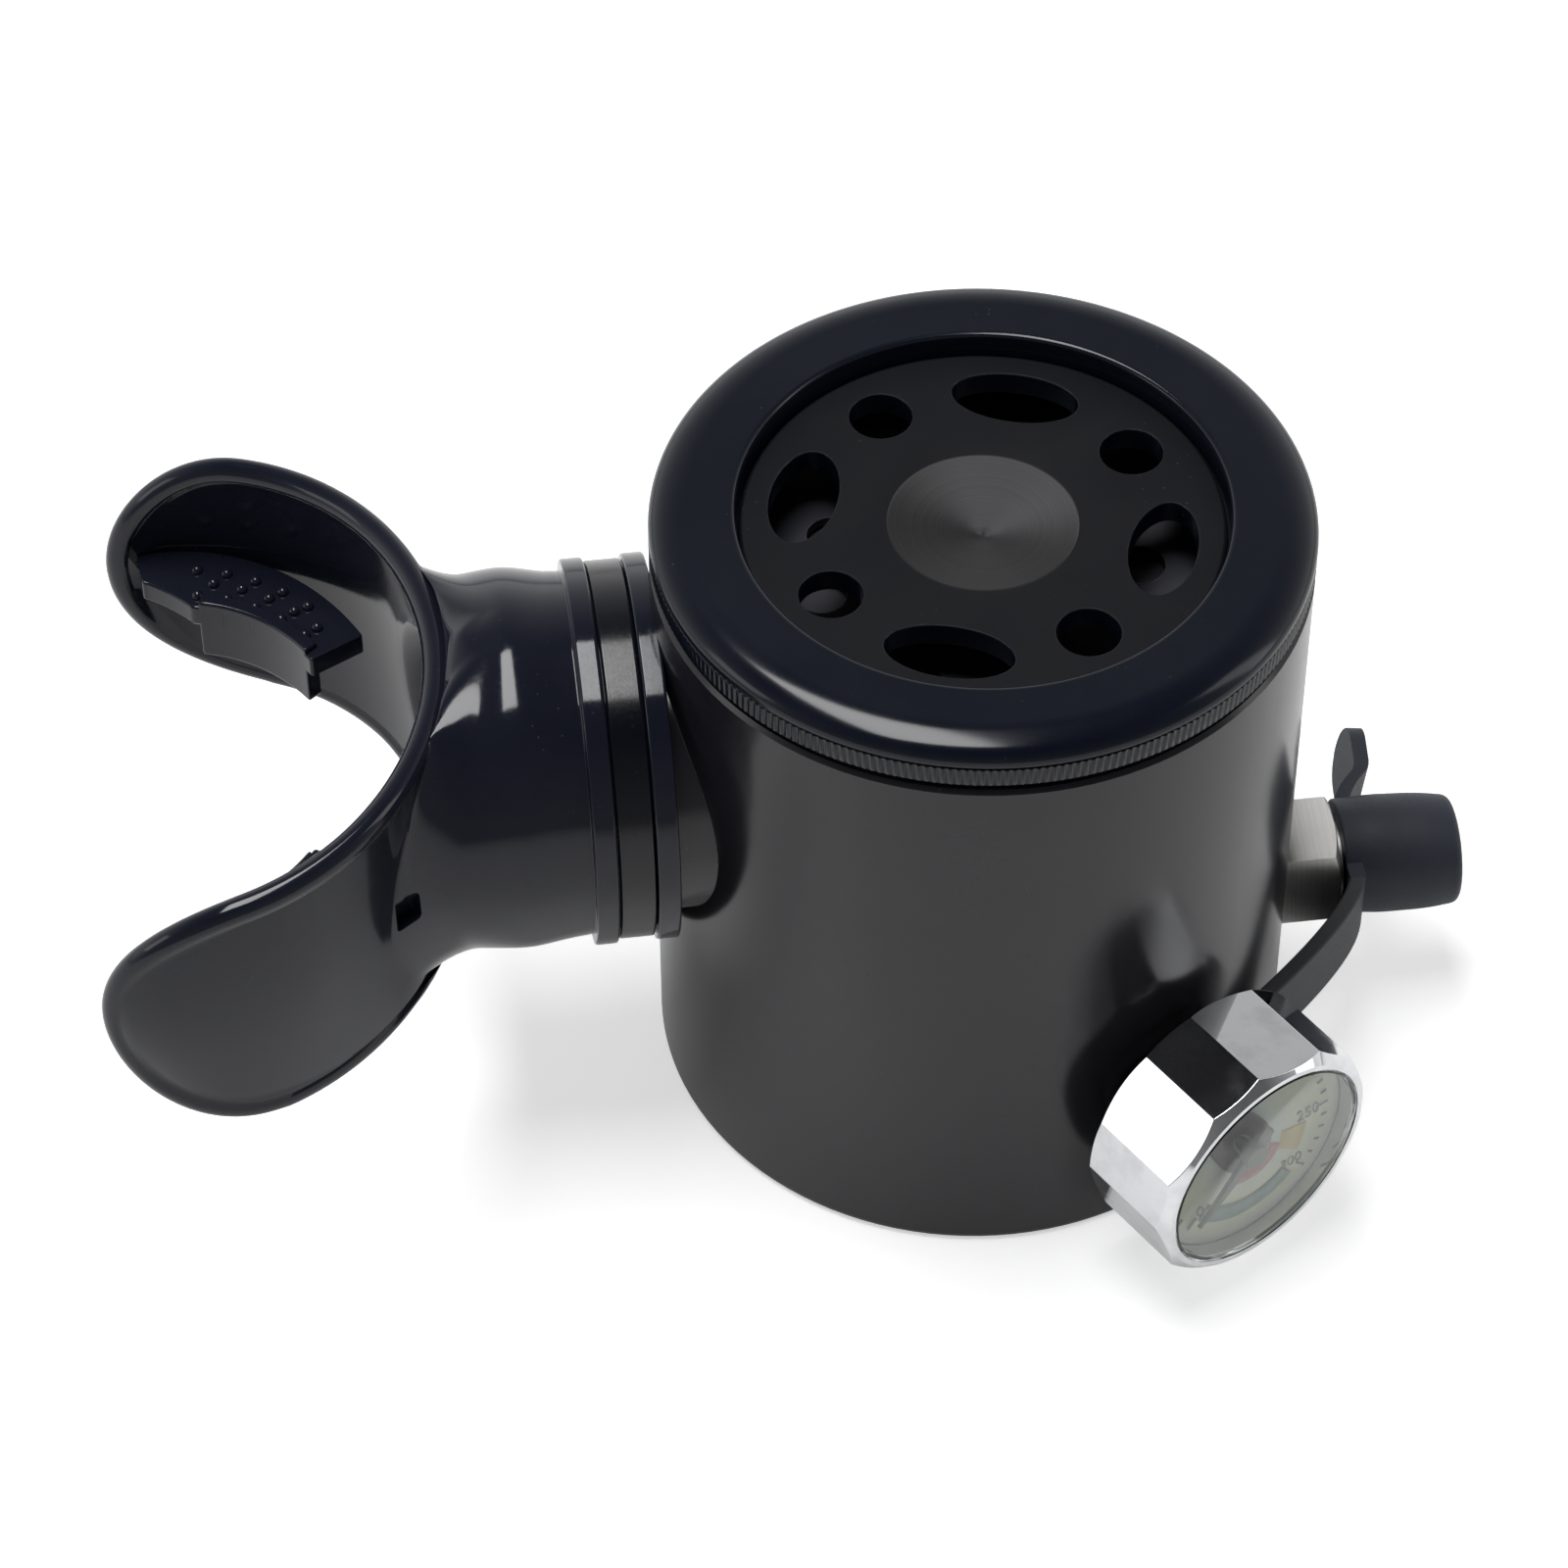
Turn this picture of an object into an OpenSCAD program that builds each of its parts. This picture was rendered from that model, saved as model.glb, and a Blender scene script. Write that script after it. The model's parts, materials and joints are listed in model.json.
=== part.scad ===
// Compact breathing regulator head for a small diving cylinder.
// Origin: centre of the flat base. +Z is up, the mouthpiece points along -X.
// All sizes are in millimetres.

/* [Body] */
// Outer radius of the body
body_r = 33; // [31:0.5:45]
// Height of the body to the face that the top ring sits on
body_h = 69.3; // [64:0.1:90]
// Thickness of the body's wall round the demand chamber
body_wall = 5.5; // [4.5:0.1:8]
// Wall left outside the top ring's thread
thread_wall = 3.8; // [3:0.1:4.4]
// Height of the demand chamber's floor
floor_z = 33; // [32:0.1:36]
// Rounding of the body's lower edge
body_edge = 1; // [0.3:0.1:2]
// Height of the gauge and the fill valve above the base
side_port_z = 17.3; // [17:0.1:18]

/* [Top ring] */
// Height of the ring's wide band
ring_band_h = 4.8; // [4:0.1:8]
// Height of the dark undercut below the band
ring_gap = 0.9; // [0.4:0.1:1.5]
// Radial depth of the undercut
undercut = 1.4; // [0.6:0.1:2]
// Width of the ring's upper face, from rim to bore
ring_face_w = 8.6; // [7:0.1:10]
// Radius of the ring's upper outer edge
ring_round = 3; // [1:0.1:4]
// Thickness of the lip that keeps the disc in
ring_lip_t = 3.5; // [2.5:0.1:4.5]
// How far the threaded skirt reaches into the body
skirt_len = 4.7; // [4:0.1:6]
// Number of knurl teeth round the band
knurl_count = 180; // [90:1:200]
// Depth of the knurl
knurl_depth = 0.3; // [0.1:0.05:0.5]
// Height of the knurled strip
knurl_h = 2.1; // [1:0.1:3]

/* [Purge disc] */
// How far the disc lies below the ring's top
disc_drop = 2.35; // [1:0.05:3]
// Thickness of the disc
disc_t = 2.6; // [2:0.1:3.5]
// Radial gap between the disc and its ring
disc_gap = 0.3; // [0.2:0.05:0.6]
// Width of the flange that keeps the disc under the lip
disc_flange = 1.2; // [0.8:0.1:1.4]
// Travel of the disc when it is pressed
purge_travel = 2.6; // [1.5:0.1:3]
// Distance of the hole circle from the disc's rim
hole_inset = 6.1; // [5:0.1:8]
// Diameter of the round holes
round_hole_d = 6.3; // [4:0.1:7]
// Length of the oval holes
oval_len = 12.8; // [9:0.1:14]
// Width of the oval holes
oval_w = 6.7; // [4:0.1:7.5]
// Angle of the first oval hole
oval_angle = 71; // [0:1:90]
// Angle of the first round hole
round_angle = 26; // [0:1:90]
// Radius of the turned dimple
dimple_r = 9.5; // [7:0.1:11]
// Depth of the dimple at its centre
dimple_depth = 2; // [1:0.1:2.4]
// Radius of the push boss below the disc
push_r = 5.5; // [4.5:0.1:6]

/* [Demand valve] */
// Thickness of the perforated guard plate
guard_t = 1; // [0.8:0.1:1.5]
// Thickness of the diaphragm's sealing bead
bead_t = 1.9; // [1.5:0.1:2.5]
// Thickness of the diaphragm's skin
skin_t = 0.8; // [0.5:0.1:1]
// Width of the diaphragm's free fold outside its plate
fold_w = 8.5; // [6:0.1:10]
// Distance from the lever's pivot to its tip
lever_arm = 11; // [9:0.1:13.5]
// Distance from the poppet's centre line to the pivot
lever_foot = 6; // [5.5:0.1:7]
// Outer radius of the valve barrel
barrel_r = 5.5; // [5:0.1:6]
// Radius of the poppet's stem
poppet_stem_r = 1.2; // [1:0.05:1.4]

/* [First stage] */
// Radius of the neck socket's thread crest
socket_r = 8.2; // [7:0.1:9]
// Depth of the neck socket
socket_len = 11; // [9:0.1:11.5]
// Radius of the high-pressure bore
hp_r = 5.5; // [5:0.1:6]
// Radius of the piston's cylinder
piston_r = 12.05; // [10:0.05:15]
// Radius of the piston's stem
stem_r = 2.6; // [2.2:0.1:3]
// Travel of the piston
piston_travel = 0.8; // [0.4:0.1:1]
// Wall of the boss round the piston
boss_wall = 2.95; // [2:0.05:4]

/* [Mouthpiece] */
// Height of the mouth port above the base
port_z = 44.6; // [44.5:0.1:50]
// Radius of the port's bore
port_bore_r = 11; // [9:0.1:11]
// Radius of the spigot that the mouthpiece is pushed on
spigot_r = 15; // [12.5:0.1:15.5]
// Wall of the mouthpiece's neck
neck_wall = 1.9; // [1.5:0.1:2.5]
// Height of the two ribs above the neck
rib_h = 1.5; // [1:0.1:2]
// Width of each rib
rib_w = 2.3; // [1.5:0.1:3]
// Width of the tie band
band_w = 3.6; // [3:0.1:5]
// Thickness of the tie band
band_t = 1; // [0.8:0.1:1.4]
// Length of the neck from the body to the mouth
neck_len = 26.3; // [24:0.1:32]
// Inner radius of the neck past the spigot
neck_bore_r = 13.5; // [12:0.1:14]
// Distance from the body to the centre of the bite arch
arch_offset = 49.6; // [46:0.1:60]
// Half length of the bite arch along its axis
arch_a = 25.3; // [22:0.1:28]
// Half width of the bite arch
arch_b = 32.1; // [30:0.1:38]
// Thickness of the arch's wall
arch_t = 2; // [1.5:0.1:3]
// Half height of the wings
wing_h = 14.9; // [13:0.1:16]
// How far the wings reach past the arch's centre
wing_reach = 6; // [3:0.1:8]
// Width of the bite tab from the wall to its inner edge
tab_w = 7.8; // [6:0.1:9]
// Thickness of the bite tab
tab_t = 2.6; // [2:0.1:3.5]
// Height of the tab's upper face above the mouth port's centre
tab_top = 1.6; // [0:0.1:3]
// Depth of the lug below the port's centre
lug_drop = 5.5; // [4:0.1:8]
// Thickness of the lug
lug_t = 1.7; // [1.2:0.1:2.5]

/* [Pressure gauge] */
// Direction of the gauge round the body
gauge_angle = -59; // [-75:1:-45]
// Corner radius of the case, whose twelve flats are wide and narrow in turn
gauge_r = 14; // [13:0.1:17]
// Length of the case
gauge_len = 12; // [11:0.1:14]
// Distance of the case from the body
gauge_standoff = 2.2; // [2.1:0.1:4]
// Turn of the case about its own axis
gauge_twist = 48; // [0:1:59]
// Angle that each of the six wide flats spans
case_flat = 35; // [30:1:44]
// Width of the bezel between the crystal and the case's flats
bezel_w = 1.1; // [0.8:0.1:2]
// Depth of the chamfer round the case's front
gauge_chamfer = 1.1; // [0.3:0.1:1.3]
// Thickness of the crystal at its rim
crystal_t = 1.4; // [1:0.1:2]
// Rise of the crystal's dome
crystal_rise = 0.7; // [0.2:0.1:1]
// Depth of the dial behind the crystal
dial_depth = 2.6; // [2:0.1:3]
// Radius of the gauge's threaded stem
gauge_stem_r = 4.85; // [4:0.05:5]

/* [Fill valve] */
// Width across the hexagon's flats
hex_af = 12.9; // [12.5:0.1:16]
// Length of the hexagon
hex_len = 6.4; // [5:0.1:8]
// Turn of the hexagon about its own axis
hex_twist = 42; // [0:1:60]
// Radius of the fill nipple
nipple_r = 4; // [3.5:0.1:4.2]
// Length of the nipple
nipple_len = 10.9; // [9.5:0.1:14]
// Wall of the rubber cap
cap_wall = 2; // [1.5:0.1:3]
// Thickness of the cap's flange, its tab and its strap
strap_t = 1.7; // [1.2:0.1:2.2]
// Width of the strap
strap_w = 8; // [6:0.1:10]
// Reach of the pull tab from the cap's centre line
tab_reach = 16.6; // [12:0.1:20]

/* [Fits] */
// Radial gap of a sliding or turning fit
running = 0.05; // [0.02:0.01:0.1]
// Radial gap of a screwed or pushed fit
screwed = 0.1; // [0.05:0.01:0.15]
// Gap between pieces that only meet when something moves
clear_gap = 0.3; // [0.2:0.05:0.5]

/* [Hidden] */
$fn = 96;
eps = 0.01;
// Gap left under a part that rests on its seat
seat_gap = 0.05;

// Colours
anodised = [0.10, 0.10, 0.11];
rubber = [0.07, 0.07, 0.12];
strap_rubber = [0.16, 0.17, 0.20];
chrome = [0.80, 0.81, 0.83];
nickel = [0.72, 0.71, 0.68];
brass = [0.72, 0.58, 0.30];
steel = [0.62, 0.63, 0.65];
seal = [0.05, 0.05, 0.05];
silicone = [0.80, 0.80, 0.76];
white = [0.90, 0.90, 0.88];
dial_print = [0.80, 0.83, 0.66];
clear_glass = [0.85, 0.88, 0.85, 0.4];

// Levels of the top ring and the purge disc
undercut_top = body_h + ring_gap;
ring_top = undercut_top + ring_band_h;
lip_under = ring_top - ring_lip_t;
skirt_bottom = body_h - skirt_len;
disc_top = ring_top - disc_drop;
disc_under = disc_top - disc_t;
ring_bore_r = body_r - ring_face_w;
disc_r = ring_bore_r - disc_gap;
flange_r = disc_r + disc_flange + disc_gap;
ring_inner_r = flange_r + disc_gap;
thread_r = body_r - thread_wall;
skirt_r = thread_r - screwed;
clamp_r = thread_r - clear_gap;
hole_circle_r = disc_r - hole_inset;

// Levels of the diaphragm and the demand valve
chamber_r = body_r - body_wall;
top_edge = 0.4;
bore_round = 0.6;
guard_under = skirt_bottom - guard_t;
bead_under = guard_under - bead_t;
plate_under = bead_under + skin_t;
plate_t = 0.6;
flap_t = 0.3;
flap_top = plate_under + plate_t + flap_t;
plate_r = chamber_r - fold_w;
vent_peg_r = 2;
flap_r = 11;
fold_depth = 1.2;
push_bottom = flap_top + clear_gap;
push_hole_r = push_r + 0.9;
hub_drop = 1;
tip_r = 0.9;
tip_z = bead_under - tip_r - 0.4;
pin_r = 0.8;
hub_r = 1.6;
fork_w = 1;
fork_t = 0.8;
fork_gap = 0.7;
nut_t = 1.2;
// Height of the nut's underside above the pivot, just over the fork
nut_seat = 0.1 - fork_t / 2;
poppet_lift = purge_travel * lever_foot / lever_arm;
// At full press the lifted nut still clears the diaphragm
pivot_z = bead_under - purge_travel - poppet_lift - nut_seat - nut_t - clear_gap;
nut_z = pivot_z + nut_seat;
stem_top = nut_z + nut_t + 0.2;
barrel_cap_t = 1.5;
barrel_top = pivot_z - hub_r - clear_gap - barrel_cap_t;
barrel_bore_r = barrel_r - 1.5;
cap_plate_t = 2.6;
boss_top = floor_z + 6.4;
barrel_z = boss_top + cap_plate_t;
demand_orifice_t = 2;
demand_lip_r = 1.9;
demand_bore_r = 1.1;
poppet_z = barrel_z + demand_orifice_t + 0.3;
poppet_head_t = 3;

// Levels of the first stage, from the neck up
filter_t = 2;
filter_r = hp_r + 0.7;
snap_groove_r = hp_r + 1.2;
outlet_r = stem_r + 1.8;
stem_groove_r = stem_r + 1.4;
filter_ring_t = 0.7;
filter_seat_z = socket_len + filter_ring_t + filter_t + 0.3;
inlet_z = side_port_z + 1.3;
inlet_t = 2.8;
seat_z = inlet_z + inlet_t + 1;
land_z = inlet_z + inlet_t + 4.6;
spring_floor_z = land_z + 2.6;
stem_bottom = seat_z + piston_travel + running;
piston_head_t = 3;
seal_groove = 1.6;
seal_groove_w = 1.4;
spigot_t = 1.6;
piston_top = boss_top - spigot_t - clear_gap;
piston_under = piston_top - piston_head_t;
boss_r = piston_r + boss_wall;
vent_z = spring_floor_z + 1.8;
vent_r = 1.2;
vent_angle = 100;
passage_r = 1.1;
gas_hole_r = 1.2;
piston_bore_r = 1;
seat_r = 1.85;
seat_t = 1.15;
crown_foot_r = 2.4;
crown_r = 1.5;
crown_bore_r = 0.8;
neck_groove_in = socket_r + 0.6;
neck_groove_out = socket_r + 2.6;
neck_groove_t = 1.5;

// Places along the mouthpiece, measured outwards from the body's axis
port_face = body_r - 0.6;
boss_out_r = spigot_r + 1.5;
neck_r = spigot_r + neck_wall;
rib_r = neck_r + rib_h;
groove = 0.15;
rib_b0 = port_face + groove;
band_x0 = rib_b0 + rib_w + groove;
rib_a0 = band_x0 + band_w + groove;
spigot_end = rib_a0 + rib_w;
neck_end = port_face + neck_len;
arch_x = port_face + arch_offset;

// Places along the gauge's axis, measured outwards from the body's axis
case_back = body_r + gauge_standoff;
case_front = case_back + gauge_len;
case_wall = 2.6;
gauge_flat_r = gauge_r * cos(case_flat / 2);
crystal_r = gauge_flat_r - bezel_w;
crystal_back = case_front - crystal_t;
dial_back = crystal_back - dial_depth;
dial_t = 0.4;
spindle_r = 0.6;
gauge_hole_len = 12;
gauge_neck_r = 3.5;
gauge_bleed_r = 0.8;
port_seat = body_r - 0.8;
o_ring_r = 0.9;
spot_face_r = hex_af / 2 / cos(30) + 0.5;

// Places along the fill valve's axis
hex_end = port_seat + hex_len;
nipple_end = hex_end + nipple_len;
flange_x0 = hex_end + 0.7;
cap_bore_r = nipple_r + 0.15;
cap_end_t = 1.7;
cap_r = cap_bore_r + cap_wall;
cap_end = nipple_end + clear_gap + cap_end_t;
fill_thread_r = 4.9;
fill_bore_r = 3;
fill_bleed_r = 1.4;
snap_depth = 0.7;
fill_stem_len = 12.2;
fill_seat_t = port_seat - 2.5;
fill_poppet_back = fill_seat_t - 2.3;
fill_inner_end = port_seat - fill_stem_len + 0.3;
fill_plug_top = fill_inner_end + 1.5;
flange_half = cap_r + 0.5;

// Points on an ellipse with half axes a and b
function oval(a, b, n = 72) = [for (i = [0 : n - 1]) [a * cos(360 * i / n), b * sin(360 * i / n)]];

// Points on a stretch of an ellipse round c, from angle t0 to t1
function arc(c, a, b, t0, t1, n = 12) =
  [for (i = [0 : n]) let (t = t0 + (t1 - t0) * i / n) c + [a * cos(t), b * sin(t)]];

// Stands the children on an axis that leaves the body sideways: their +Z runs outwards
module sideways(angle, height) {
  rotate([0, 0, angle]) translate([0, 0, height]) rotate([0, 90, 0]) children();
}

// A tube from height z0 to z1
module tube(r_out, r_in, z0, z1) {
  difference() {
    translate([0, 0, z0]) cylinder(r = r_out, h = z1 - z0);
    translate([0, 0, z0 - 1]) cylinder(r = r_in, h = z1 - z0 + 2);
  }
}

// A round bar from height z0 to z1
module bar(r, z0, z1) {
  translate([0, 0, z0]) cylinder(r = r, h = z1 - z0);
}

// A rubber ring with its middle at height z
module o_ring(ring_r, cord_r, z) {
  translate([0, 0, z]) rotate_extrude() translate([ring_r, 0]) circle(r = cord_r, $fn = 24);
}

// A compression spring from height z0 to z1, as one unbroken helical tube
coil_rings = 8;
coil_sides = 6;
function coil_point(r, z0, pitch, turn) = [r * cos(360 * turn), r * sin(360 * turn), z0 + pitch * turn];
module coil(r, wire_r, turns, z0, z1) {
  pitch = (z1 - z0 - 2 * wire_r) / turns;
  rings = turns * coil_rings;
  points = [
    for (i = [0 : rings], k = [0 : coil_sides - 1])
      let (turn = i / coil_rings, side = 360 * k / coil_sides)
      coil_point(r + wire_r * cos(side), z0 + wire_r * (1 + sin(side)), pitch, turn)
  ];
  // Least gap between a ring of the tube and the ring one turn further on
  next = coil_rings * coil_sides;
  sides = [0 : coil_sides - 1];
  echo(coil_gap = min([for (a = sides, b = sides) norm(points[a] - points[next + b])]));
  walls = [
    for (i = [0 : rings - 1], k = [0 : coil_sides - 1])
      let (a = i * coil_sides + k, b = i * coil_sides + (k + 1) % coil_sides)
      each [[a, b, b + coil_sides], [a, b + coil_sides, a + coil_sides]]
  ];
  last = rings * coil_sides;
  ends = [for (k = [1 : coil_sides - 2]) each [[0, k + 1, k], [last, last + k, last + k + 1]]];
  polyhedron(points = points, faces = concat(walls, ends));
}

// ---- Body and top ring ----

module body_outside() {
  rotate_extrude() polygon(concat(
    [[0, 0]],
    arc([body_r - body_edge, body_edge], body_edge, body_edge, -90, 0, 6),
    [[body_r, body_h - top_edge], [body_r - top_edge, body_h], [0, body_h]]
  ));
}

// A threaded side port with its O-ring seat, a spot face and the gas passage behind it
module side_port(thread_len, bore_r) {
  bar(bore_r, port_seat - thread_len, body_r + 1);
  bar(bore_r + 2 * o_ring_r + screwed, port_seat - 2 * o_ring_r, body_r + 1);
  bar(spot_face_r, port_seat, body_r + 1);
  bar(passage_r, 1, body_r);
}

module body_shell() {
  color(anodised) difference() {
    union() {
      difference() {
        body_outside();
        bar(chamber_r, floor_z, body_h + 1);
        bar(thread_r, bead_under, body_h + 1);
        sideways(180, port_z) bar(rib_r + clear_gap, port_face, body_r + 1);
      }
      bar(boss_r, floor_z - 1, boss_top);
      sideways(180, port_z) bar(boss_out_r, chamber_r + 1, port_face);
      sideways(180, port_z) bar(spigot_r, port_face - 1, spigot_end);
    }
    sideways(180, port_z) bar(port_bore_r, boss_r + 4, spigot_end + 1);
    bar(socket_r, -1, socket_len);
    bar(filter_r, socket_len - 1, filter_seat_z);
    bar(hp_r, filter_seat_z - 1, inlet_z + inlet_t);
    bar(outlet_r, inlet_z + inlet_t - 1, land_z);
    bar(stem_r + running, land_z - 1, spring_floor_z + 1);
    bar(stem_groove_r, land_z + 0.6, land_z + 2);
    bar(piston_r, spring_floor_z, boss_top + 1);
    bar(snap_groove_r, socket_len, socket_len + filter_ring_t);
    sideways(gauge_angle, side_port_z) side_port(gauge_hole_len, gauge_stem_r + screwed);
    sideways(0, side_port_z) side_port(fill_stem_len, fill_thread_r + screwed);
    sideways(vent_angle, vent_z) bar(vent_r, piston_r - 1, body_r + 1);
    tube(neck_groove_out, neck_groove_in, -1, neck_groove_t);
  }
}

module knurl() {
  tooth = 360 / knurl_count;
  points = [
    for (i = [0 : knurl_count - 1])
      each [
        [body_r * cos(i * tooth), body_r * sin(i * tooth)],
        [
          (body_r - knurl_depth) * cos((i + 0.5) * tooth),
          (body_r - knurl_depth) * sin((i + 0.5) * tooth)
        ]
      ]
  ];
  translate([0, 0, undercut_top]) linear_extrude(knurl_h) difference() {
    polygon(points);
    circle(r = body_r - 2);
  }
}

module top_ring() {
  // The band lies just inside the knurl's valleys
  band_r = body_r - knurl_depth - 0.1;
  round_r = min(ring_round, ring_band_h - knurl_h - 0.2);
  color(anodised) union() {
    rotate_extrude() polygon(concat(
      [
        [ring_inner_r, skirt_bottom], [skirt_r, skirt_bottom], [skirt_r, body_h],
        [body_r - undercut, body_h], [body_r - undercut, undercut_top],
        [band_r, undercut_top], [band_r, undercut_top + knurl_h],
        [body_r, undercut_top + knurl_h + 0.1]
      ],
      arc([body_r - round_r, ring_top - round_r], round_r, round_r, 0, 90),
      arc([ring_bore_r + bore_round, ring_top - bore_round], bore_round, bore_round, 90, 180, 4),
      [[ring_bore_r, lip_under], [ring_inner_r, lip_under]]
    ));
    knurl();
  }
}

// ---- Purge disc and what it presses ----

module on_hole_circle(first) {
  for (i = [0 : 3]) rotate([0, 0, first + 90 * i]) translate([hole_circle_r, 0, 0]) children();
}

module purge_disc() {
  color(anodised) difference() {
    rotate_extrude() polygon([
      [0, push_bottom], [push_r, push_bottom], [push_r, disc_under - hub_drop],
      [dimple_r + 1, disc_under - 0.6], [dimple_r + 2, disc_under],
      [flange_r, disc_under], [flange_r, lip_under - running], [disc_r, lip_under - running],
      [disc_r, disc_top - 0.3], [disc_r - 0.3, disc_top],
      [dimple_r, disc_top], [0, disc_top - dimple_depth]
    ]);
    translate([0, 0, disc_under - 3]) linear_extrude(disc_t + 5) {
      on_hole_circle(round_angle) circle(d = round_hole_d);
      on_hole_circle(oval_angle) polygon(oval(oval_w / 2, oval_len / 2, 48));
    }
  }
}

module purge_spring() {
  color(steel) coil(push_r + 2.1, 0.25, 2, skirt_bottom + seat_gap, disc_under - hub_drop - seat_gap);
}

module guard_plate() {
  color(steel) difference() {
    tube(clamp_r, push_hole_r, guard_under, skirt_bottom);
    translate([0, 0, guard_under - 1]) linear_extrude(guard_t + 2)
      for (i = [0 : 11]) rotate([0, 0, 30 * i]) translate([plate_r - 3, 0]) circle(r = 2.6);
  }
}

module diaphragm() {
  fold_r = (plate_r + chamber_r) / 2;
  color(silicone) difference() {
    rotate_extrude() polygon([
      [vent_peg_r, bead_under], [fold_r - 2.2, bead_under], [fold_r - 1, bead_under - fold_depth],
      [fold_r + 1, bead_under - fold_depth], [fold_r + 2, bead_under], [clamp_r, bead_under],
      [clamp_r, guard_under], [chamber_r - 0.2, guard_under], [chamber_r - 0.2, plate_under],
      [fold_r + 1.6, plate_under], [fold_r + 0.6, plate_under - fold_depth],
      [fold_r - 0.6, plate_under - fold_depth], [fold_r - 1.8, plate_under], [vent_peg_r, plate_under]
    ]);
    vent_ring(bead_under - 1, 4);
  }
}

module vent_ring(z, h) {
  translate([0, 0, z]) linear_extrude(h) for (i = [0 : 5])
    rotate([0, 0, 60 * i + 30]) translate([8, 0]) circle(r = 1.8);
}

module diaphragm_plate() {
  color(brass) difference() {
    tube(plate_r, vent_peg_r, plate_under, plate_under + plate_t);
    vent_ring(plate_under - 1, plate_t + 2);
  }
}

module exhaust_valve() {
  color(silicone) union() {
    bar(flap_r, plate_under + plate_t, flap_top);
    bar(vent_peg_r - 0.2, plate_under, plate_under + plate_t + eps);
  }
}

// ---- Demand valve ----

module lever_outline() {
  polygon([
    [lever_foot, pivot_z - 0.7], [lever_foot + 2, pivot_z - 0.6],
    [lever_foot + lever_arm * 0.7, tip_z - 1.6], [lever_foot + lever_arm + tip_r, tip_z],
    [lever_foot + lever_arm - tip_r, tip_z + 0.2], [lever_foot + lever_arm * 0.6, tip_z - 0.7],
    [lever_foot, pivot_z + 0.9]
  ]);
}

module across(x, z, r, half) {
  translate([x, half, z]) rotate([90, 0, 0]) cylinder(r = r, h = 2 * half);
}

module demand_lever() {
  fork_y = poppet_stem_r + fork_gap;
  color(steel) difference() {
    union() {
      across(lever_foot, pivot_z, hub_r, fork_y + fork_w);
      across(lever_foot + lever_arm, tip_z, tip_r, fork_y);
      translate([0, fork_y, 0]) rotate([90, 0, 0]) linear_extrude(2 * fork_y) lever_outline();
      for (side = [-1, 1])
        translate([0, side * (fork_y + fork_w / 2) - fork_w / 2, pivot_z - 1.5 * fork_t])
          cube([lever_foot, fork_w, fork_t]);
    }
    across(lever_foot, pivot_z, pin_r + running, fork_y + 3);
  }
}

ear_y = poppet_stem_r + fork_gap + fork_w + clear_gap;
ear_t = 1.2;

module lever_pin() {
  color(steel) across(lever_foot, pivot_z, pin_r, ear_y + ear_t + 0.2);
}

module valve_barrel() {
  color(brass) difference() {
    tube(barrel_r, barrel_bore_r, barrel_z, barrel_top);
    sideways(180, poppet_z + poppet_head_t + 1.5) bar(1.5, 0, barrel_r + 1);
  }
}

module barrel_cap() {
  color(brass) difference() {
    union() {
      bar(barrel_r, barrel_top, barrel_top + barrel_cap_t);
      for (side = [-1, 1])
        translate([lever_foot - 1.7, side * (ear_y + ear_t / 2) - ear_t / 2, barrel_top])
          cube([3.4, ear_t, pivot_z + 1.6 - barrel_top]);
    }
    bar(poppet_stem_r + running, barrel_top - 1, pivot_z + 3);
    across(lever_foot, pivot_z, pin_r + 0.02, ear_y + ear_t + 1);
  }
}

module demand_orifice() {
  color(brass) difference() {
    union() {
      bar(barrel_bore_r - screwed, barrel_z + 0.05, barrel_z + demand_orifice_t);
      bar(demand_lip_r, barrel_z + demand_orifice_t - eps, poppet_z - running);
    }
    bar(demand_bore_r, barrel_z - 1, poppet_z + 1);
  }
}

module poppet() {
  color(brass) union() {
    bar(barrel_bore_r - clear_gap, poppet_z, poppet_z + poppet_head_t);
    bar(poppet_stem_r, poppet_z + 1, stem_top);
  }
}

module poppet_spring() {
  color(steel) coil((poppet_stem_r + barrel_bore_r) / 2 + 0.15, 0.35, 4,
    poppet_z + poppet_head_t + seat_gap, barrel_top - seat_gap);
}

module poppet_nut() {
  color(brass) tube(3.2, poppet_stem_r + 0.02, nut_z, nut_z + nut_t);
}

// ---- First stage ----

module first_stage_cap() {
  color(brass) difference() {
    union() {
      bar(boss_r, boss_top, barrel_z);
      bar(piston_r - screwed, boss_top - spigot_t, boss_top + eps);
    }
    bar(gas_hole_r, boss_top - 3, barrel_z + 1);
    translate([0, 0, boss_top - 1.3]) tube(piston_r + 1, piston_r - 1.3, 0, 1.2);
  }
}

module cap_o_ring() {
  color(seal) o_ring(piston_r - 0.7, 0.55, boss_top - 0.7);
}

module piston() {
  color(nickel) difference() {
    union() {
      bar(piston_r - running, piston_under, piston_top);
      bar(stem_r, stem_bottom, piston_under + 1);
    }
    tube(piston_r + 1, piston_r - seal_groove, piston_under + 0.8, piston_under + 0.8 + seal_groove_w);
    bar(piston_bore_r, stem_bottom + 1.6, piston_top + 1);
    bar(seat_r + seat_gap, stem_bottom - 1, stem_bottom + seat_t + seat_gap);
    translate([0, 0, stem_bottom + 1.9]) rotate([90, 0, 0]) cylinder(r = 0.6, h = 8, center = true);
  }
}

module piston_seat() {
  color(white) bar(seat_r, stem_bottom, stem_bottom + seat_t);
}

module piston_o_ring() {
  color(seal) o_ring(piston_r - seal_groove / 2, 0.65, piston_under + 0.8 + seal_groove_w / 2);
}

module stem_o_ring() {
  color(seal) o_ring(stem_r + 0.7, 0.62, land_z + 1.3);
}

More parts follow.
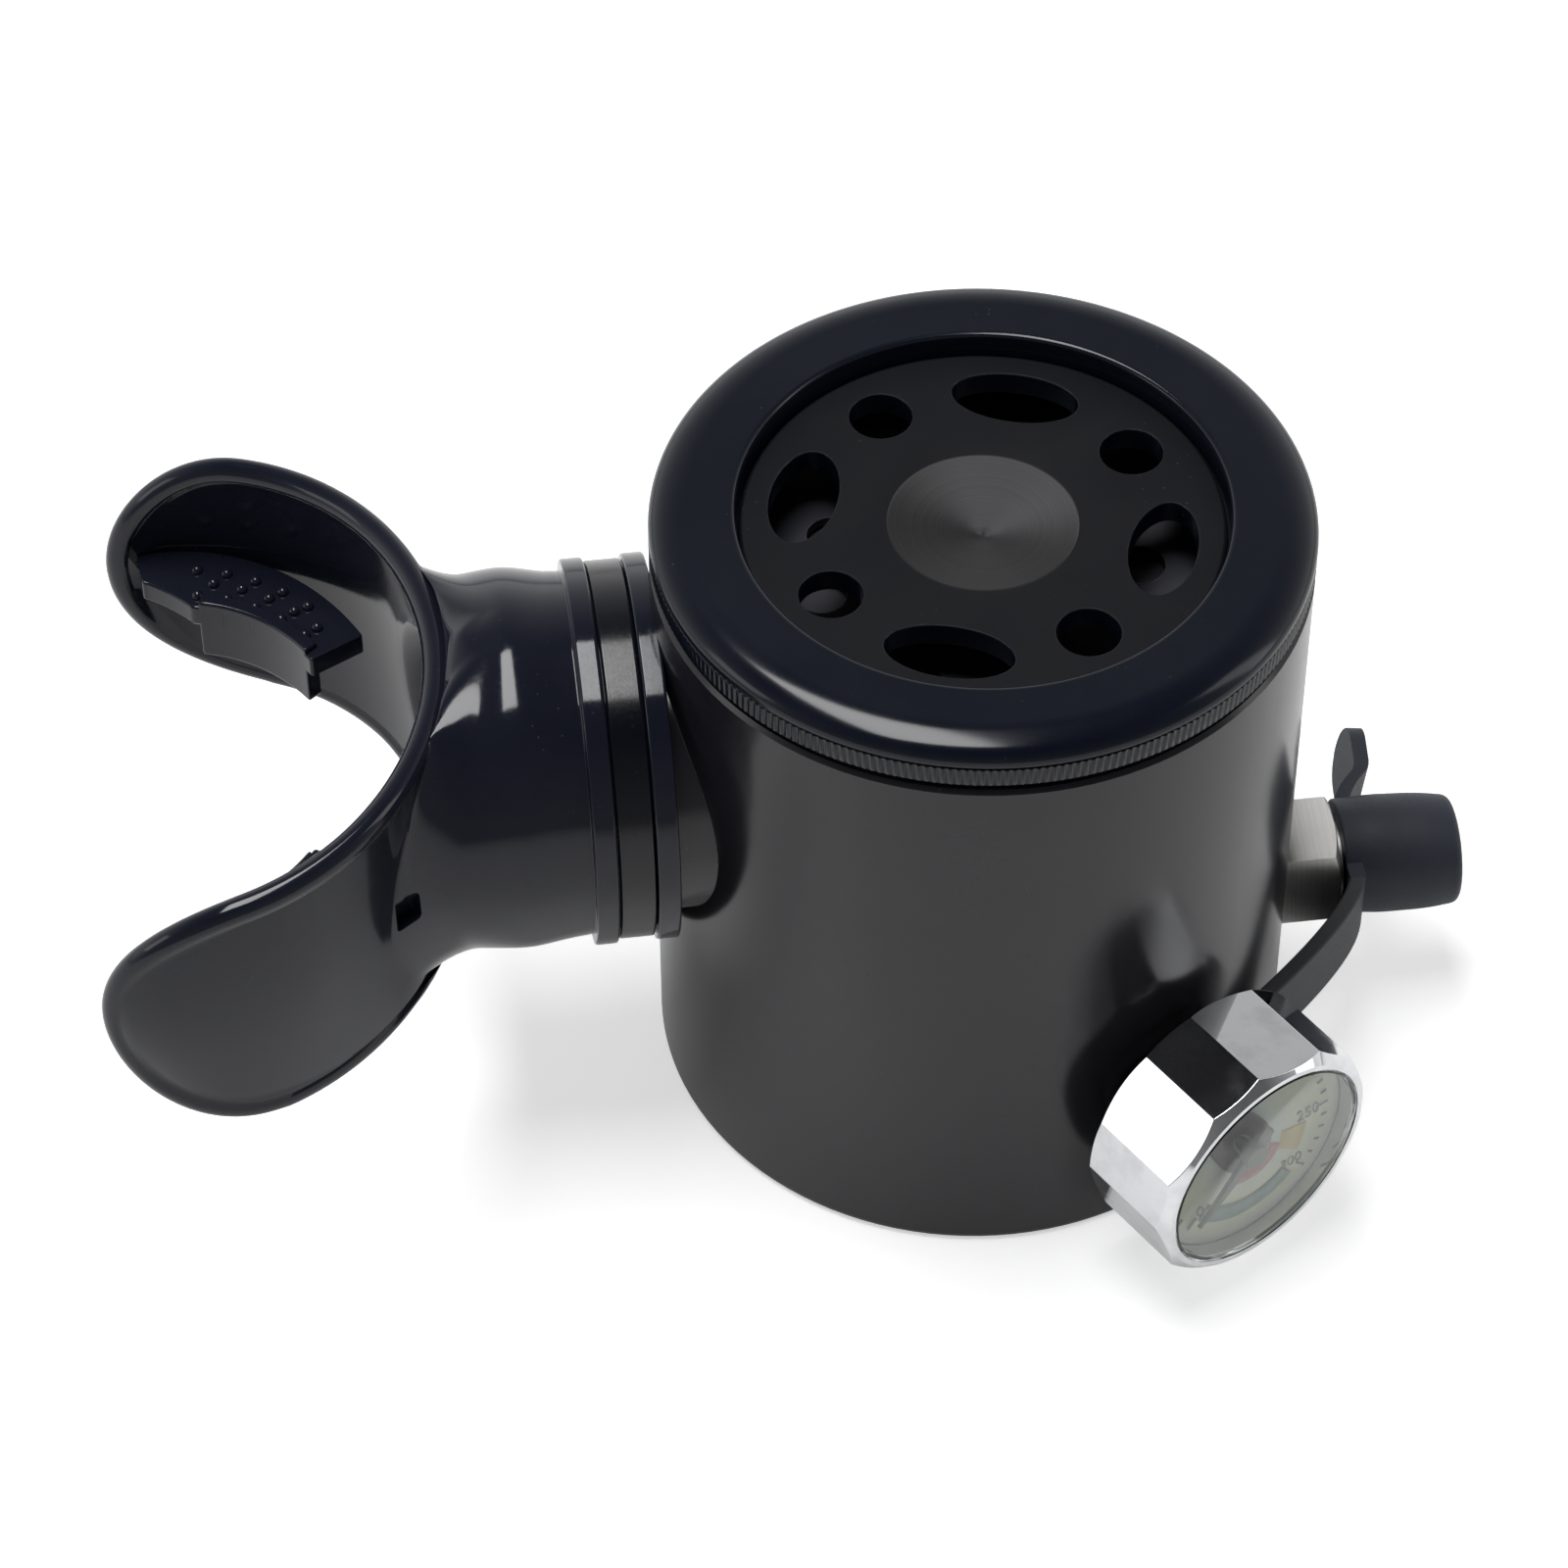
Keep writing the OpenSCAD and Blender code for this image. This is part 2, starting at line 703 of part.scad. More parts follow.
module piston_spring() {
  color(steel) coil(piston_r - 3.6, 0.6, 2, spring_floor_z + seat_gap, piston_under - seat_gap);
}

module inlet_orifice() {
  color(brass) difference() {
    union() {
      bar(hp_r - screwed, inlet_z, inlet_z + inlet_t - 0.05);
      translate([0, 0, inlet_z + inlet_t - 0.1]) cylinder(r1 = crown_foot_r, r2 = crown_r, h = 1.1);
    }
    bar(crown_bore_r, inlet_z - 1, seat_z + 1);
  }
}

module inlet_filter() {
  color(brass) bar(filter_r - screwed, filter_seat_z - filter_t - seat_gap, filter_seat_z - seat_gap);
}

module filter_ring() {
  color(steel) difference() {
    tube(snap_groove_r - screwed, hp_r - 1, socket_len + seat_gap, socket_len + filter_ring_t - seat_gap);
    translate([0, -1, socket_len - 1]) cube([hp_r + 3, 2, 3]);
  }
}

module neck_o_ring() {
  color(seal) o_ring((neck_groove_in + neck_groove_out) / 2, neck_groove_t / 2, neck_groove_t / 2);
}

// ---- Mouthpiece ----

module at_arch(z0, z1) {
  translate([-arch_x, 0, z0]) linear_extrude(z1 - z0) children();
}

// The wings' outline seen from the side, with a rounded end
module wing_side() {
  end_a = 14;
  reach = arch_x + wing_reach - end_a;
  translate([0, arch_b + 1, port_z]) rotate([90, 0, 0]) linear_extrude(2 * arch_b + 2) polygon(concat(
    [[-spigot_end, neck_r], [-neck_end, neck_r - 0.1]],
    arc([-reach, 0], end_a, wing_h, 90, 270, 24),
    [[-neck_end, 0.1 - neck_r], [-spigot_end, -neck_r]]
  ));
}

module arch_wall() {
  intersection() {
    at_arch(port_z - neck_r, port_z + neck_r) difference() {
      polygon(oval(arch_a, arch_b));
      polygon(oval(arch_a - arch_t, arch_b - arch_t));
    }
    wing_side();
  }
}

// One bite tab with its lug, on the +Y side
module bite_tab() {
  inner_a = arch_a - arch_t;
  inner_b = arch_b - arch_t;
  edge_a = inner_a - tab_w * 0.67;
  edge_b = inner_b - tab_w;
  back = 2.6;
  module patch() {
    intersection() {
      children();
      translate([back, neck_bore_r + 0.8]) square([arch_a, arch_b]);
    }
  }
  at_arch(port_z + tab_top - tab_t, port_z + tab_top) {
    patch() difference() {
      polygon(oval(inner_a + 0.2, inner_b + 0.2));
      polygon(oval(edge_a, edge_b));
    }
    intersection() {
      difference() {
        polygon(oval(inner_a + 0.2, inner_b + 0.2));
        polygon(oval(inner_a - 2.4, inner_b - 4.2));
      }
      translate([-3, neck_bore_r]) square([arch_a, arch_b]);
    }
  }
  at_arch(port_z - lug_drop, port_z + tab_top + 0.6) patch() difference() {
    polygon(oval(edge_a + lug_t, edge_b + lug_t));
    polygon(oval(edge_a, edge_b));
  }
}

module mouthpiece() {
  color(rubber) difference() {
    union() {
      arch_wall();
      bite_tab();
      mirror([0, 1, 0]) bite_tab();
      difference() {
        sideways(180, port_z) union() {
          bar(neck_r, rib_b0, neck_end + 3);
          bar(rib_r, rib_b0, rib_b0 + rib_w);
          bar(rib_r, rib_a0, rib_a0 + rib_w);
        }
        at_arch(port_z - rib_r, port_z + rib_r) polygon(oval(arch_a - arch_t, arch_b - arch_t));
      }
    }
    sideways(180, port_z) bar(spigot_r + screwed, rib_b0 - 1, spigot_end + screwed);
    sideways(180, port_z) bar(neck_bore_r, spigot_end - 1, neck_end + 8);
  }
}

module mouthpiece_band() {
  head_angle = 45;
  color(seal) sideways(180, port_z) union() {
    tube(neck_r + 0.05 + band_t, neck_r + 0.05, band_x0, band_x0 + band_w);
    rotate([0, 0, -head_angle]) translate([neck_r + 0.3, -2.6, band_x0])
      cube([band_t + 2.6, 5.2, band_w]);
  }
}

// ---- Pressure gauge ----

module at_gauge() {
  sideways(gauge_angle, side_port_z) children();
}

module case_outline() {
  polygon([
    for (k = [0 : 5], half = [-case_flat / 2, case_flat / 2])
      gauge_r * [cos(60 * k + half), sin(60 * k + half)]
  ]);
}

module gauge_case() {
  color(chrome) at_gauge() difference() {
    intersection() {
      rotate([0, 0, gauge_twist]) translate([0, 0, case_back])
        linear_extrude(height = gauge_len) case_outline();
      rotate_extrude() polygon([
        [0, case_back], [gauge_flat_r - 0.1, case_back], [gauge_r + 0.2, case_back + 0.8],
        [gauge_r + 0.2, case_front - gauge_chamfer - 0.2],
        [gauge_r - gauge_chamfer, case_front], [0, case_front]
      ]);
    }
    bar(crystal_r + screwed, crystal_back - 0.1, case_front + 1);
    bar(crystal_r - 0.5, case_back + case_wall, case_front);
    bar(gauge_neck_r + screwed, case_back - 1, case_front);
  }
}

module gauge_stem() {
  color(chrome) at_gauge() difference() {
    union() {
      bar(gauge_stem_r, port_seat - gauge_hole_len + 0.3, case_back - 0.05);
      bar(gauge_neck_r, case_back - 1, case_back + case_wall + 1);
    }
    bar(gauge_bleed_r, 0, case_back + case_wall);
  }
}

module gauge_o_ring() {
  color(seal) at_gauge() o_ring(gauge_stem_r + o_ring_r + 0.05, o_ring_r - 0.02, port_seat - o_ring_r);
}

bourdon_z = case_back + case_wall + 2.2;

module bourdon_tube() {
  color(brass) at_gauge() union() {
    translate([0, 0, bourdon_z]) rotate_extrude(angle = 270) translate([9, 0]) circle(r = 0.9, $fn = 24);
    translate([0, -0.8, case_back + case_wall + 1.05]) cube([9, 1.6, 1.6]);
    translate([7.5, -1.5, case_back + case_wall + 1.05]) cube([3, 1.8, 1.6]);
  }
}

module gauge_dial() {
  color(dial_print) at_gauge()
    tube(crystal_r - 0.6, spindle_r + running, dial_back, dial_back + dial_t);
}

module gauge_needle() {
  needle_z = dial_back + dial_t + 0.5;
  color(seal) at_gauge() union() {
    bar(spindle_r, bourdon_z + 1.4, needle_z + 0.5);
    bar(1.3, needle_z, needle_z + 0.7);
    rotate([0, 0, -45]) translate([0, 0, needle_z]) linear_extrude(0.3)
      polygon([[-3, -0.7], [-3, 0.7], [0, 0.6], [crystal_r - 3, 0.12], [crystal_r - 3, -0.12], [0, -0.6]]);
  }
}

module gauge_crystal() {
  // Radius of the sphere whose cap rises by crystal_rise over the crystal
  dome_r = (crystal_r * crystal_r + crystal_rise * crystal_rise) / (2 * crystal_rise);
  color(clear_glass) at_gauge() union() {
    bar(crystal_r, crystal_back, case_front);
    intersection() {
      translate([0, 0, case_front + crystal_rise - dome_r]) sphere(r = dome_r, $fn = 200);
      bar(crystal_r, case_front - 0.2, case_front + crystal_rise + 1);
    }
  }
}

// ---- Fill valve, cap and strap ----

module at_fill() {
  sideways(0, side_port_z) children();
}

module fill_valve_body() {
  hex_r = hex_af / 2 / cos(30);
  color(nickel) at_fill() difference() {
    union() {
      bar(fill_thread_r, fill_inner_end, port_seat + 1);
      intersection() {
        rotate([0, 0, hex_twist]) translate([0, 0, port_seat]) cylinder(r = hex_r, h = hex_len, $fn = 6);
        rotate_extrude() polygon([
          [0, port_seat], [hex_r + 0.1, port_seat], [hex_r + 0.1, hex_end - 0.7],
          [hex_af / 2 - 0.1, hex_end], [0, hex_end]
        ]);
      }
      rotate_extrude() polygon([
        [0, hex_end - 1], [nipple_r, hex_end - 1], [nipple_r, nipple_end - 5.5],
        [nipple_r - snap_depth, nipple_end - 4.9], [nipple_r - snap_depth, nipple_end - 3.9],
        [nipple_r, nipple_end - 3.3], [nipple_r, nipple_end - 0.8], [nipple_r - 0.8, nipple_end],
        [0, nipple_end]
      ]);
    }
    bar(fill_bleed_r, 0, nipple_end + 1);
    bar(fill_bore_r, 0, fill_seat_t);
  }
}

module fill_o_ring() {
  color(seal) at_fill() o_ring(fill_thread_r + o_ring_r + 0.05, o_ring_r - 0.02, port_seat - o_ring_r);
}

module fill_poppet() {
  color(nickel) at_fill() union() {
    bar(fill_bore_r - clear_gap, fill_poppet_back, fill_seat_t - seat_gap);
    bar(1.1, fill_seat_t - 4, fill_seat_t - 2);
  }
}

module fill_plug() {
  color(brass) at_fill() tube(fill_bore_r - screwed, 1, fill_inner_end, fill_plug_top);
}

module fill_spring() {
  color(steel) at_fill()
    coil(fill_bore_r - 0.9, 0.3, 4, fill_plug_top + seat_gap, fill_poppet_back - seat_gap);
}

module dust_cap() {
  cap_round = 1;
  color(strap_rubber) at_fill() difference() {
    union() {
      rotate_extrude() polygon(concat(
        [[0, flange_x0], [cap_r, flange_x0]],
        arc([cap_r - cap_round - 0.15, cap_end - cap_round], cap_round, cap_round, 0, 90, 6),
        [[0, cap_end]]
      ));
      translate([-strap_w / 2, 0, flange_x0]) cube([strap_w, tab_reach - strap_w / 2, strap_t]);
      translate([0, tab_reach - strap_w / 2, flange_x0]) cylinder(r = strap_w / 2, h = strap_t);
      translate([-strap_w / 2, -flange_half, flange_x0]) cube([strap_w, flange_half, strap_t]);
    }
    bar(cap_bore_r, flange_x0 - 1, nipple_end + clear_gap);
  }
}

// The strap's middle line in plan, from the cap's flange to the loop on the gauge's stem
loop_x = case_back - 0.2 - strap_t / 2;
gauge_dir = [cos(gauge_angle), sin(gauge_angle)];
gauge_side = [-sin(gauge_angle), cos(gauge_angle)];
loop_in = gauge_stem_r + clear_gap;
loop_out = loop_in + 2.8;
strap_start = [flange_x0 + strap_t / 2, -flange_half - 0.05];
strap_end = loop_x * gauge_dir + (loop_out - 1.2) * gauge_side;
strap_bow = [7, 8];
strap_ctrl_1 = strap_start - [0, strap_bow[0]];
strap_ctrl_2 = strap_end + strap_bow[1] * gauge_side;
function curve(t) =
  pow(1 - t, 3) * strap_start + 3 * pow(1 - t, 2) * t * strap_ctrl_1
  + 3 * (1 - t) * t * t * strap_ctrl_2 + pow(t, 3) * strap_end;
function slope(t) =
  3 * pow(1 - t, 2) * (strap_ctrl_1 - strap_start) + 6 * (1 - t) * t * (strap_ctrl_2 - strap_ctrl_1)
  + 3 * t * t * (strap_end - strap_ctrl_2);
function edge(t, d) = let (s = slope(t)) curve(t) + d * [-s[1], s[0]] / norm(s);

module cap_strap() {
  steps = 24;
  color(strap_rubber) union() {
    translate([0, 0, side_port_z - strap_w / 2]) linear_extrude(strap_w) polygon(concat(
      [for (i = [0 : steps]) edge(i / steps, strap_t / 2)],
      [for (i = [steps : -1 : 0]) edge(i / steps, -strap_t / 2)]
    ));
    at_gauge() tube(loop_out, loop_in, loop_x - strap_t / 2, loop_x + strap_t / 2);
  }
}

body_shell();
top_ring();
purge_disc();
purge_spring();
guard_plate();
diaphragm();
diaphragm_plate();
exhaust_valve();
demand_lever();
lever_pin();
valve_barrel();
barrel_cap();
demand_orifice();
poppet();
poppet_spring();
poppet_nut();
first_stage_cap();
cap_o_ring();
piston();
piston_seat();
piston_o_ring();
stem_o_ring();
piston_spring();
inlet_orifice();
inlet_filter();
filter_ring();
neck_o_ring();
mouthpiece();
mouthpiece_band();
gauge_case();
gauge_stem();
gauge_o_ring();
bourdon_tube();
gauge_dial();
gauge_needle();
gauge_crystal();
fill_valve_body();
fill_o_ring();
fill_poppet();
fill_spring();
fill_plug();
dust_cap();
cap_strap();
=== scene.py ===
import json
import math
import bpy
import bmesh
import numpy as np
from mathutils import Matrix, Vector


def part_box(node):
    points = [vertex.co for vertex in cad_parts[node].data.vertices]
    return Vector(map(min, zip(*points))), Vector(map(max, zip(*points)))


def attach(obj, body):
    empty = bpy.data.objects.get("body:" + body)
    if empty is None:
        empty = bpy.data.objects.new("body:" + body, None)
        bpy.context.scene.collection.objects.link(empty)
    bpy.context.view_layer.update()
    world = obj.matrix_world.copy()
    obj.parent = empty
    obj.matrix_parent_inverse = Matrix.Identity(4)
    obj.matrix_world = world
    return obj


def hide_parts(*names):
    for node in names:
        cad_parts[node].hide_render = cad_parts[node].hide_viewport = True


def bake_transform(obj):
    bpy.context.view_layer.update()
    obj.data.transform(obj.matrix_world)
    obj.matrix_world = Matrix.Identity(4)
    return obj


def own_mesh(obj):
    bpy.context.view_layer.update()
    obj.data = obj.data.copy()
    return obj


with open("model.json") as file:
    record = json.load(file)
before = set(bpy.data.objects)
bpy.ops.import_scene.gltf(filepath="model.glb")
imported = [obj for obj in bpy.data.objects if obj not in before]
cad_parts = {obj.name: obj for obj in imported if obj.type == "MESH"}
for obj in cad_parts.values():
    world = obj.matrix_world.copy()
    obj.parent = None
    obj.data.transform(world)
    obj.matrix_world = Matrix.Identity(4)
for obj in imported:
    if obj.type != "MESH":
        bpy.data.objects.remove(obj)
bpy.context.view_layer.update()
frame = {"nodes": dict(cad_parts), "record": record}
nodes = frame["nodes"]
mm = 0.001
print("frame loaded")

# Camera and studio

cameraSet = {
    "target": (-19.53, 2.45, 34.45),   # mm
    "distance": 571.0,                 # mm
    "azimuth": -7.16,                  # degrees
    "elevation": 47.70,
    "roll": -0.226,
    "focal": 126.57,                   # mm on a 36 mm sensor
}


def link(name, data):
    # A new object with this data, in the scene
    thing = bpy.data.objects.new(name, data)
    bpy.context.scene.collection.objects.link(thing)
    return thing


def standing(right, up, back, place):
    # The matrix of a camera or lamp that looks against back from its place
    matrix = np.eye(4)
    matrix[:3] = np.stack([right, up, back, place], -1)
    return Matrix(matrix.tolist())


def makeCamera():
    # The camera sits at a distance from the target, along azimuth and elevation, and is turned by roll
    a, e, r = (math.radians(cameraSet[k]) for k in ("azimuth", "elevation", "roll"))
    back = np.array([math.sin(a) * math.cos(e), -math.cos(a) * math.cos(e), math.sin(e)])
    right = np.array([math.cos(a), math.sin(a), 0.0])
    up = np.cross(back, right)
    data = bpy.data.cameras.new("camera")
    data.lens = cameraSet["focal"]
    data.sensor_width = 36
    data.clip_start = 0.01
    data.clip_end = 20
    camera = link("camera", data)
    camera.matrix_world = standing(math.cos(r) * right + math.sin(r) * up, math.cos(r) * up - math.sin(r) * right,
                                   back, (np.array(cameraSet["target"]) + cameraSet["distance"] * back) * mm)
    bpy.context.scene.camera = camera


makeCamera()
bpy.context.scene.view_settings.view_transform = "Standard"
print("camera placed")

# Node helpers


def feed(socket, value):
    # Another socket is wired to it; anything else becomes its own value
    if isinstance(value, bpy.types.NodeSocket):
        socket.id_data.links.new(value, socket)
    else:
        socket.default_value = value


def put(tree, kind, **values):
    # One node; each value goes to the input or the setting of that name
    node = tree.nodes.new(kind)
    for key, value in values.items():
        label = key.replace("_", " ")
        if label in node.inputs:
            feed(node.inputs[label], value)
        else:
            setattr(node, key, value)
    return node


def calc(kind, a, b=None):
    # A Math node of that kind on a socket and, if given, a second socket or number
    node = put(a.id_data, "ShaderNodeMath", operation=kind)
    feed(node.inputs[0], a)
    if b is not None:
        feed(node.inputs[1], b)
    return node.outputs[0]


def stretchTo(value, low, high, newLow=0.0, newHigh=1.0):
    # The value's range low to high becomes newLow to newHigh, held at both ends
    return put(value.id_data, "ShaderNodeMapRange", clamp=True, Value=value, From_Min=low, From_Max=high,
               To_Min=newLow, To_Max=newHigh).outputs[0]


def blendColours(factor, a, b):
    # Colour a where the factor is 0 and b where it is 1; a and b are sockets or tuples
    node = put(factor.id_data, "ShaderNodeMix", data_type="RGBA", Factor=factor)
    for socket, value in ((node.inputs[6], a), (node.inputs[7], b)):
        feed(socket, (*value, 1.0) if isinstance(value, tuple) else value)
    return node.outputs[2]


def noiseAt(vector, scale, detail, **values):
    return put(vector.id_data, "ShaderNodeTexNoise", Vector=vector, Scale=scale, Detail=detail, **values).outputs[0]


def axesOf(vector):
    return put(vector.id_data, "ShaderNodeSeparateXYZ", Vector=vector).outputs


def radiusOf(axes):
    # Distance from the Z axis: the root of the sum of X squared and Y squared
    return calc("SQRT", calc("ADD", calc("POWER", axes[0], 2.0), calc("POWER", axes[1], 2.0)))


def newGroup(name, outputs, **inputs):
    # A group that takes a vector and the named numbers, and puts out numbers
    tree = bpy.data.node_groups.new(name, "ShaderNodeTree")
    tree.interface.new_socket("Vector", in_out="INPUT", socket_type="NodeSocketVector")
    for label, value in inputs.items():
        tree.interface.new_socket(label, in_out="INPUT", socket_type="NodeSocketFloat").default_value = value
    for label in outputs:
        tree.interface.new_socket(label, in_out="OUTPUT", socket_type="NodeSocketFloat")
    return tree, tree.nodes.new("NodeGroupInput").outputs, tree.nodes.new("NodeGroupOutput").inputs


def makeGrain():
    # Fine grain and a slow blotch: two noises of different size on the same point
    tree, given, out = newGroup("moulded grain", ("Grain", "Blotch"), Fine=3000.0, Slow=60.0)
    for label, key, detail in (("Grain", "Fine", 3.0), ("Blotch", "Slow", 4.0)):
        feed(out[label], noiseAt(given["Vector"], given[key], detail, Roughness=0.55))
    return tree


def makeTurned():
    # Lathe marks: noise read along the radius and the height only, so that it makes rings round Z
    tree, given, out = newGroup("turned marks", ("Marks", "Bands"), Pitch=6000.0)
    axes = axesOf(given["Vector"])
    radius = radiusOf(axes)
    for label, share in (("Marks", 1.0), ("Bands", 0.12)):
        pitch = calc("MULTIPLY", given["Pitch"], share)
        join = put(tree, "ShaderNodeCombineXYZ", X=calc("MULTIPLY", radius, pitch), Y=calc("MULTIPLY", axes[2], pitch))
        feed(out[label], noiseAt(join.outputs[0], 1.0, 2.0))
    return tree


def makeEdge():
    # A mask along convex and concave edges: how far the rounded normal turns from the true one, broken by noise
    tree, given, out = newGroup("worn edge", ("Edge",), Width=0.0003, Breaks=900.0)
    soft = put(tree, "ShaderNodeBevel", samples=4, Radius=given["Width"])
    turn = put(tree, "ShaderNodeVectorMath", operation="DOT_PRODUCT")
    feed(turn.inputs[0], soft.outputs[0])
    feed(turn.inputs[1], tree.nodes.new("ShaderNodeNewGeometry").outputs["Normal"])
    mask = stretchTo(turn.outputs["Value"], 0.99, 0.85)
    broken = stretchTo(noiseAt(given["Vector"], given["Breaks"], 3.0), 0.35, 0.6, 0.35, 1.0)
    feed(out["Edge"], calc("MULTIPLY", mask, broken))
    return tree


def makeSpecks():
    # Dust: small spots round scattered points, kept only where a slow noise is high
    tree, given, out = newGroup("dust specks", ("Specks",), Spacing=700.0)
    cells = put(tree, "ShaderNodeTexVoronoi", feature="F1", Vector=given["Vector"], Scale=given["Spacing"])
    spots = stretchTo(cells.outputs["Distance"], 0.10, 0.04)
    here = stretchTo(noiseAt(given["Vector"], 120.0, 2.0), 0.52, 0.66)
    feed(out["Specks"], calc("MULTIPLY", spots, here))
    return tree


grainGroup, turnedGroup, edgeGroup, specksGroup = makeGrain(), makeTurned(), makeEdge(), makeSpecks()


def use(group, vector, **values):
    # The group on a vector, with its own values; gives back its outputs
    return list(put(vector.id_data, "ShaderNodeGroup", node_tree=group, Vector=vector, **values).outputs)


def startFinish(name, turn=None, centre=None, **constants):
    # A material with its Principled shader and Object coordinates, moved to a centre and turned if asked
    material = bpy.data.materials.new(name)
    material.use_nodes = True
    tree = material.node_tree
    shader = tree.nodes["Principled BSDF"]
    for key, value in constants.items():
        shader.inputs[key.replace("_", " ")].default_value = value
    place = tree.nodes.new("ShaderNodeTexCoord").outputs["Object"]
    if centre:
        place = put(tree, "ShaderNodeMapping", vector_type="TEXTURE", Vector=place, Location=centre,
                    Rotation=turn).outputs[0]
    return material, shader, place


def endFinish(shader, colour, rough, height=None, depth=0.0):
    # Colour, roughness and a bump whose height is in metres
    feed(shader.inputs["Base Color"], colour)
    feed(shader.inputs["Roughness"], rough)
    if height is not None:
        relief = put(shader.id_data, "ShaderNodeBump", Strength=1.0, Distance=depth, Height=height)
        feed(shader.inputs["Normal"], relief.outputs[0])


# Finishes

finishSet = {
    # base, blotch and worn edge colour, then edge share, roughness low and high, grain scale, bump depth in metres
    # and the shader's specular level
    "anodised": ((0.0125, 0.0125, 0.0165), (0.0155, 0.0155, 0.0200), (0.10, 0.10, 0.11),
                 0.35, 0.17, 0.22, 7000.0, 6e-7, 0.42),
    "anodised_gloss": ((0.0042, 0.0058, 0.0120), (0.0060, 0.0078, 0.0145), (0.09, 0.10, 0.12),
                       0.45, 0.14, 0.17, 5000.0, 5e-7, 0.34),
    "anodised_matte": ((0.0052, 0.0056, 0.0080), (0.0068, 0.0072, 0.0094), (0.09, 0.09, 0.10),
                       0.60, 0.42, 0.52, 9000.0, 2e-6, 0.12),
    "mouth_rubber": ((0.0085, 0.0098, 0.0180), (0.0110, 0.0124, 0.0215), (0.05, 0.05, 0.06),
                     0.10, 0.07, 0.13, 2600.0, 7e-7, 0.38),
    "band": ((0.0040, 0.0045, 0.0080), (0.0065, 0.0070, 0.0105), (0.06, 0.06, 0.07),
             0.20, 0.13, 0.22, 3600.0, 2e-6, 0.4),
    "cap_rubber": ((0.0200, 0.0240, 0.0360), (0.0270, 0.0310, 0.0440), (0.10, 0.10, 0.11),
                   0.30, 0.46, 0.60, 4200.0, 1.4e-5, 0.35),
    "strap_rubber": ((0.0330, 0.0345, 0.0390), (0.0430, 0.0440, 0.0490), (0.12, 0.12, 0.13),
                     0.30, 0.50, 0.64, 4200.0, 1.4e-5, 0.4),
    "seal": ((0.0080, 0.0080, 0.0085), (0.0130, 0.0130, 0.0140), (0.06, 0.06, 0.06),
             0.10, 0.30, 0.45, 5000.0, 4e-6, 0.5),
    "silicone": ((0.0160, 0.0162, 0.0175), (0.0220, 0.0222, 0.0235), (0.08, 0.08, 0.085),
                 0.10, 0.32, 0.46, 3000.0, 6e-6, 0.3),
    "seat": ((0.74, 0.74, 0.71), (0.80, 0.80, 0.77), (0.85, 0.85, 0.83),
             0.10, 0.30, 0.42, 4000.0, 3e-6, 0.5),
    # The blackened finish is also put on the diaphragm plate under the purge disc's holes, where its dark colour stands
    # in for the shade there: painted shade
    "blackened": ((0.0300, 0.0310, 0.0400), (0.0400, 0.0405, 0.0480), (0.20, 0.19, 0.18),
                  0.50, 0.38, 0.52, 6000.0, 4e-6, 0.2),
}
plainSet = {"slow": 70.0, "edge": 0.00022, "dust": (0.30, 0.30, 0.30), "dustShare": 0.10}


def makePlain(name):
    # Grain sets the roughness and the bump, blotches and worn edges the colour, and dust lies on top
    base, second, worn, edgeShare, low, high, scale, depth, shine = finishSet[name]
    material, shader, place = startFinish(name, Specular_IOR_Level=shine)
    grain, blotch = use(grainGroup, place, Fine=scale, Slow=plainSet["slow"])
    edge = use(edgeGroup, place, Width=plainSet["edge"])[0]
    specks = use(specksGroup, place)[0]
    mixed = blendColours(stretchTo(blotch, 0.35, 0.65), base, second)
    mixed = blendColours(calc("MULTIPLY", edge, edgeShare), mixed, worn)
    mixed = blendColours(calc("MULTIPLY", specks, plainSet["dustShare"]), mixed, plainSet["dust"])
    rough = calc("ADD", stretchTo(grain, 0.3, 0.7, low, high), stretchTo(blotch, 0.3, 0.7, -0.02, 0.02))
    endFinish(shader, mixed, rough, grain, depth)
    return material


metalSet = {
    # colour, second colour, roughness low and high, ring pitch, bump depth
    "steel": ((0.52, 0.53, 0.55), (0.44, 0.45, 0.47), 0.20, 0.34, 6000.0, 4e-7),
    "brass": ((0.62, 0.44, 0.18), (0.52, 0.36, 0.14), 0.20, 0.34, 6000.0, 4e-7),
    "bronze": ((0.44, 0.30, 0.18), (0.30, 0.19, 0.11), 0.45, 0.70, 9000.0, 2e-5),
    "nickel": ((0.80, 0.79, 0.77), (0.70, 0.69, 0.67), 0.33, 0.37, 5000.0, 2e-7),
}


def makeMetal(name):
    # Turned metal: ring marks drive the roughness, the bump and a slight change of tone
    base, second, low, high, pitch, depth = metalSet[name]
    material, shader, place = startFinish(name, Metallic=1.0)
    marks, bands = use(turnedGroup, place, Pitch=pitch)
    blotch = use(grainGroup, place, Fine=6000.0, Slow=180.0)[1]
    edge = use(edgeGroup, place, Width=0.0002)[0]
    tone = calc("ADD", calc("MULTIPLY", bands, 0.5), calc("MULTIPLY", blotch, 0.5))
    mixed = blendColours(stretchTo(tone, 0.4, 0.6), base, second)
    bright = tuple(min(1.0, c * 1.25) for c in base)
    colour = blendColours(calc("MULTIPLY", edge, 0.6), mixed, bright)
    endFinish(shader, colour, stretchTo(marks, 0.35, 0.65, low, high), marks, depth)
    return material


chromeSet = {
    "colour": (0.80, 0.81, 0.83), "smudge": (0.70, 0.71, 0.73), "edge": (0.93, 0.93, 0.94),
    "rough": (0.035, 0.11), "depth": 2.5e-7,
}


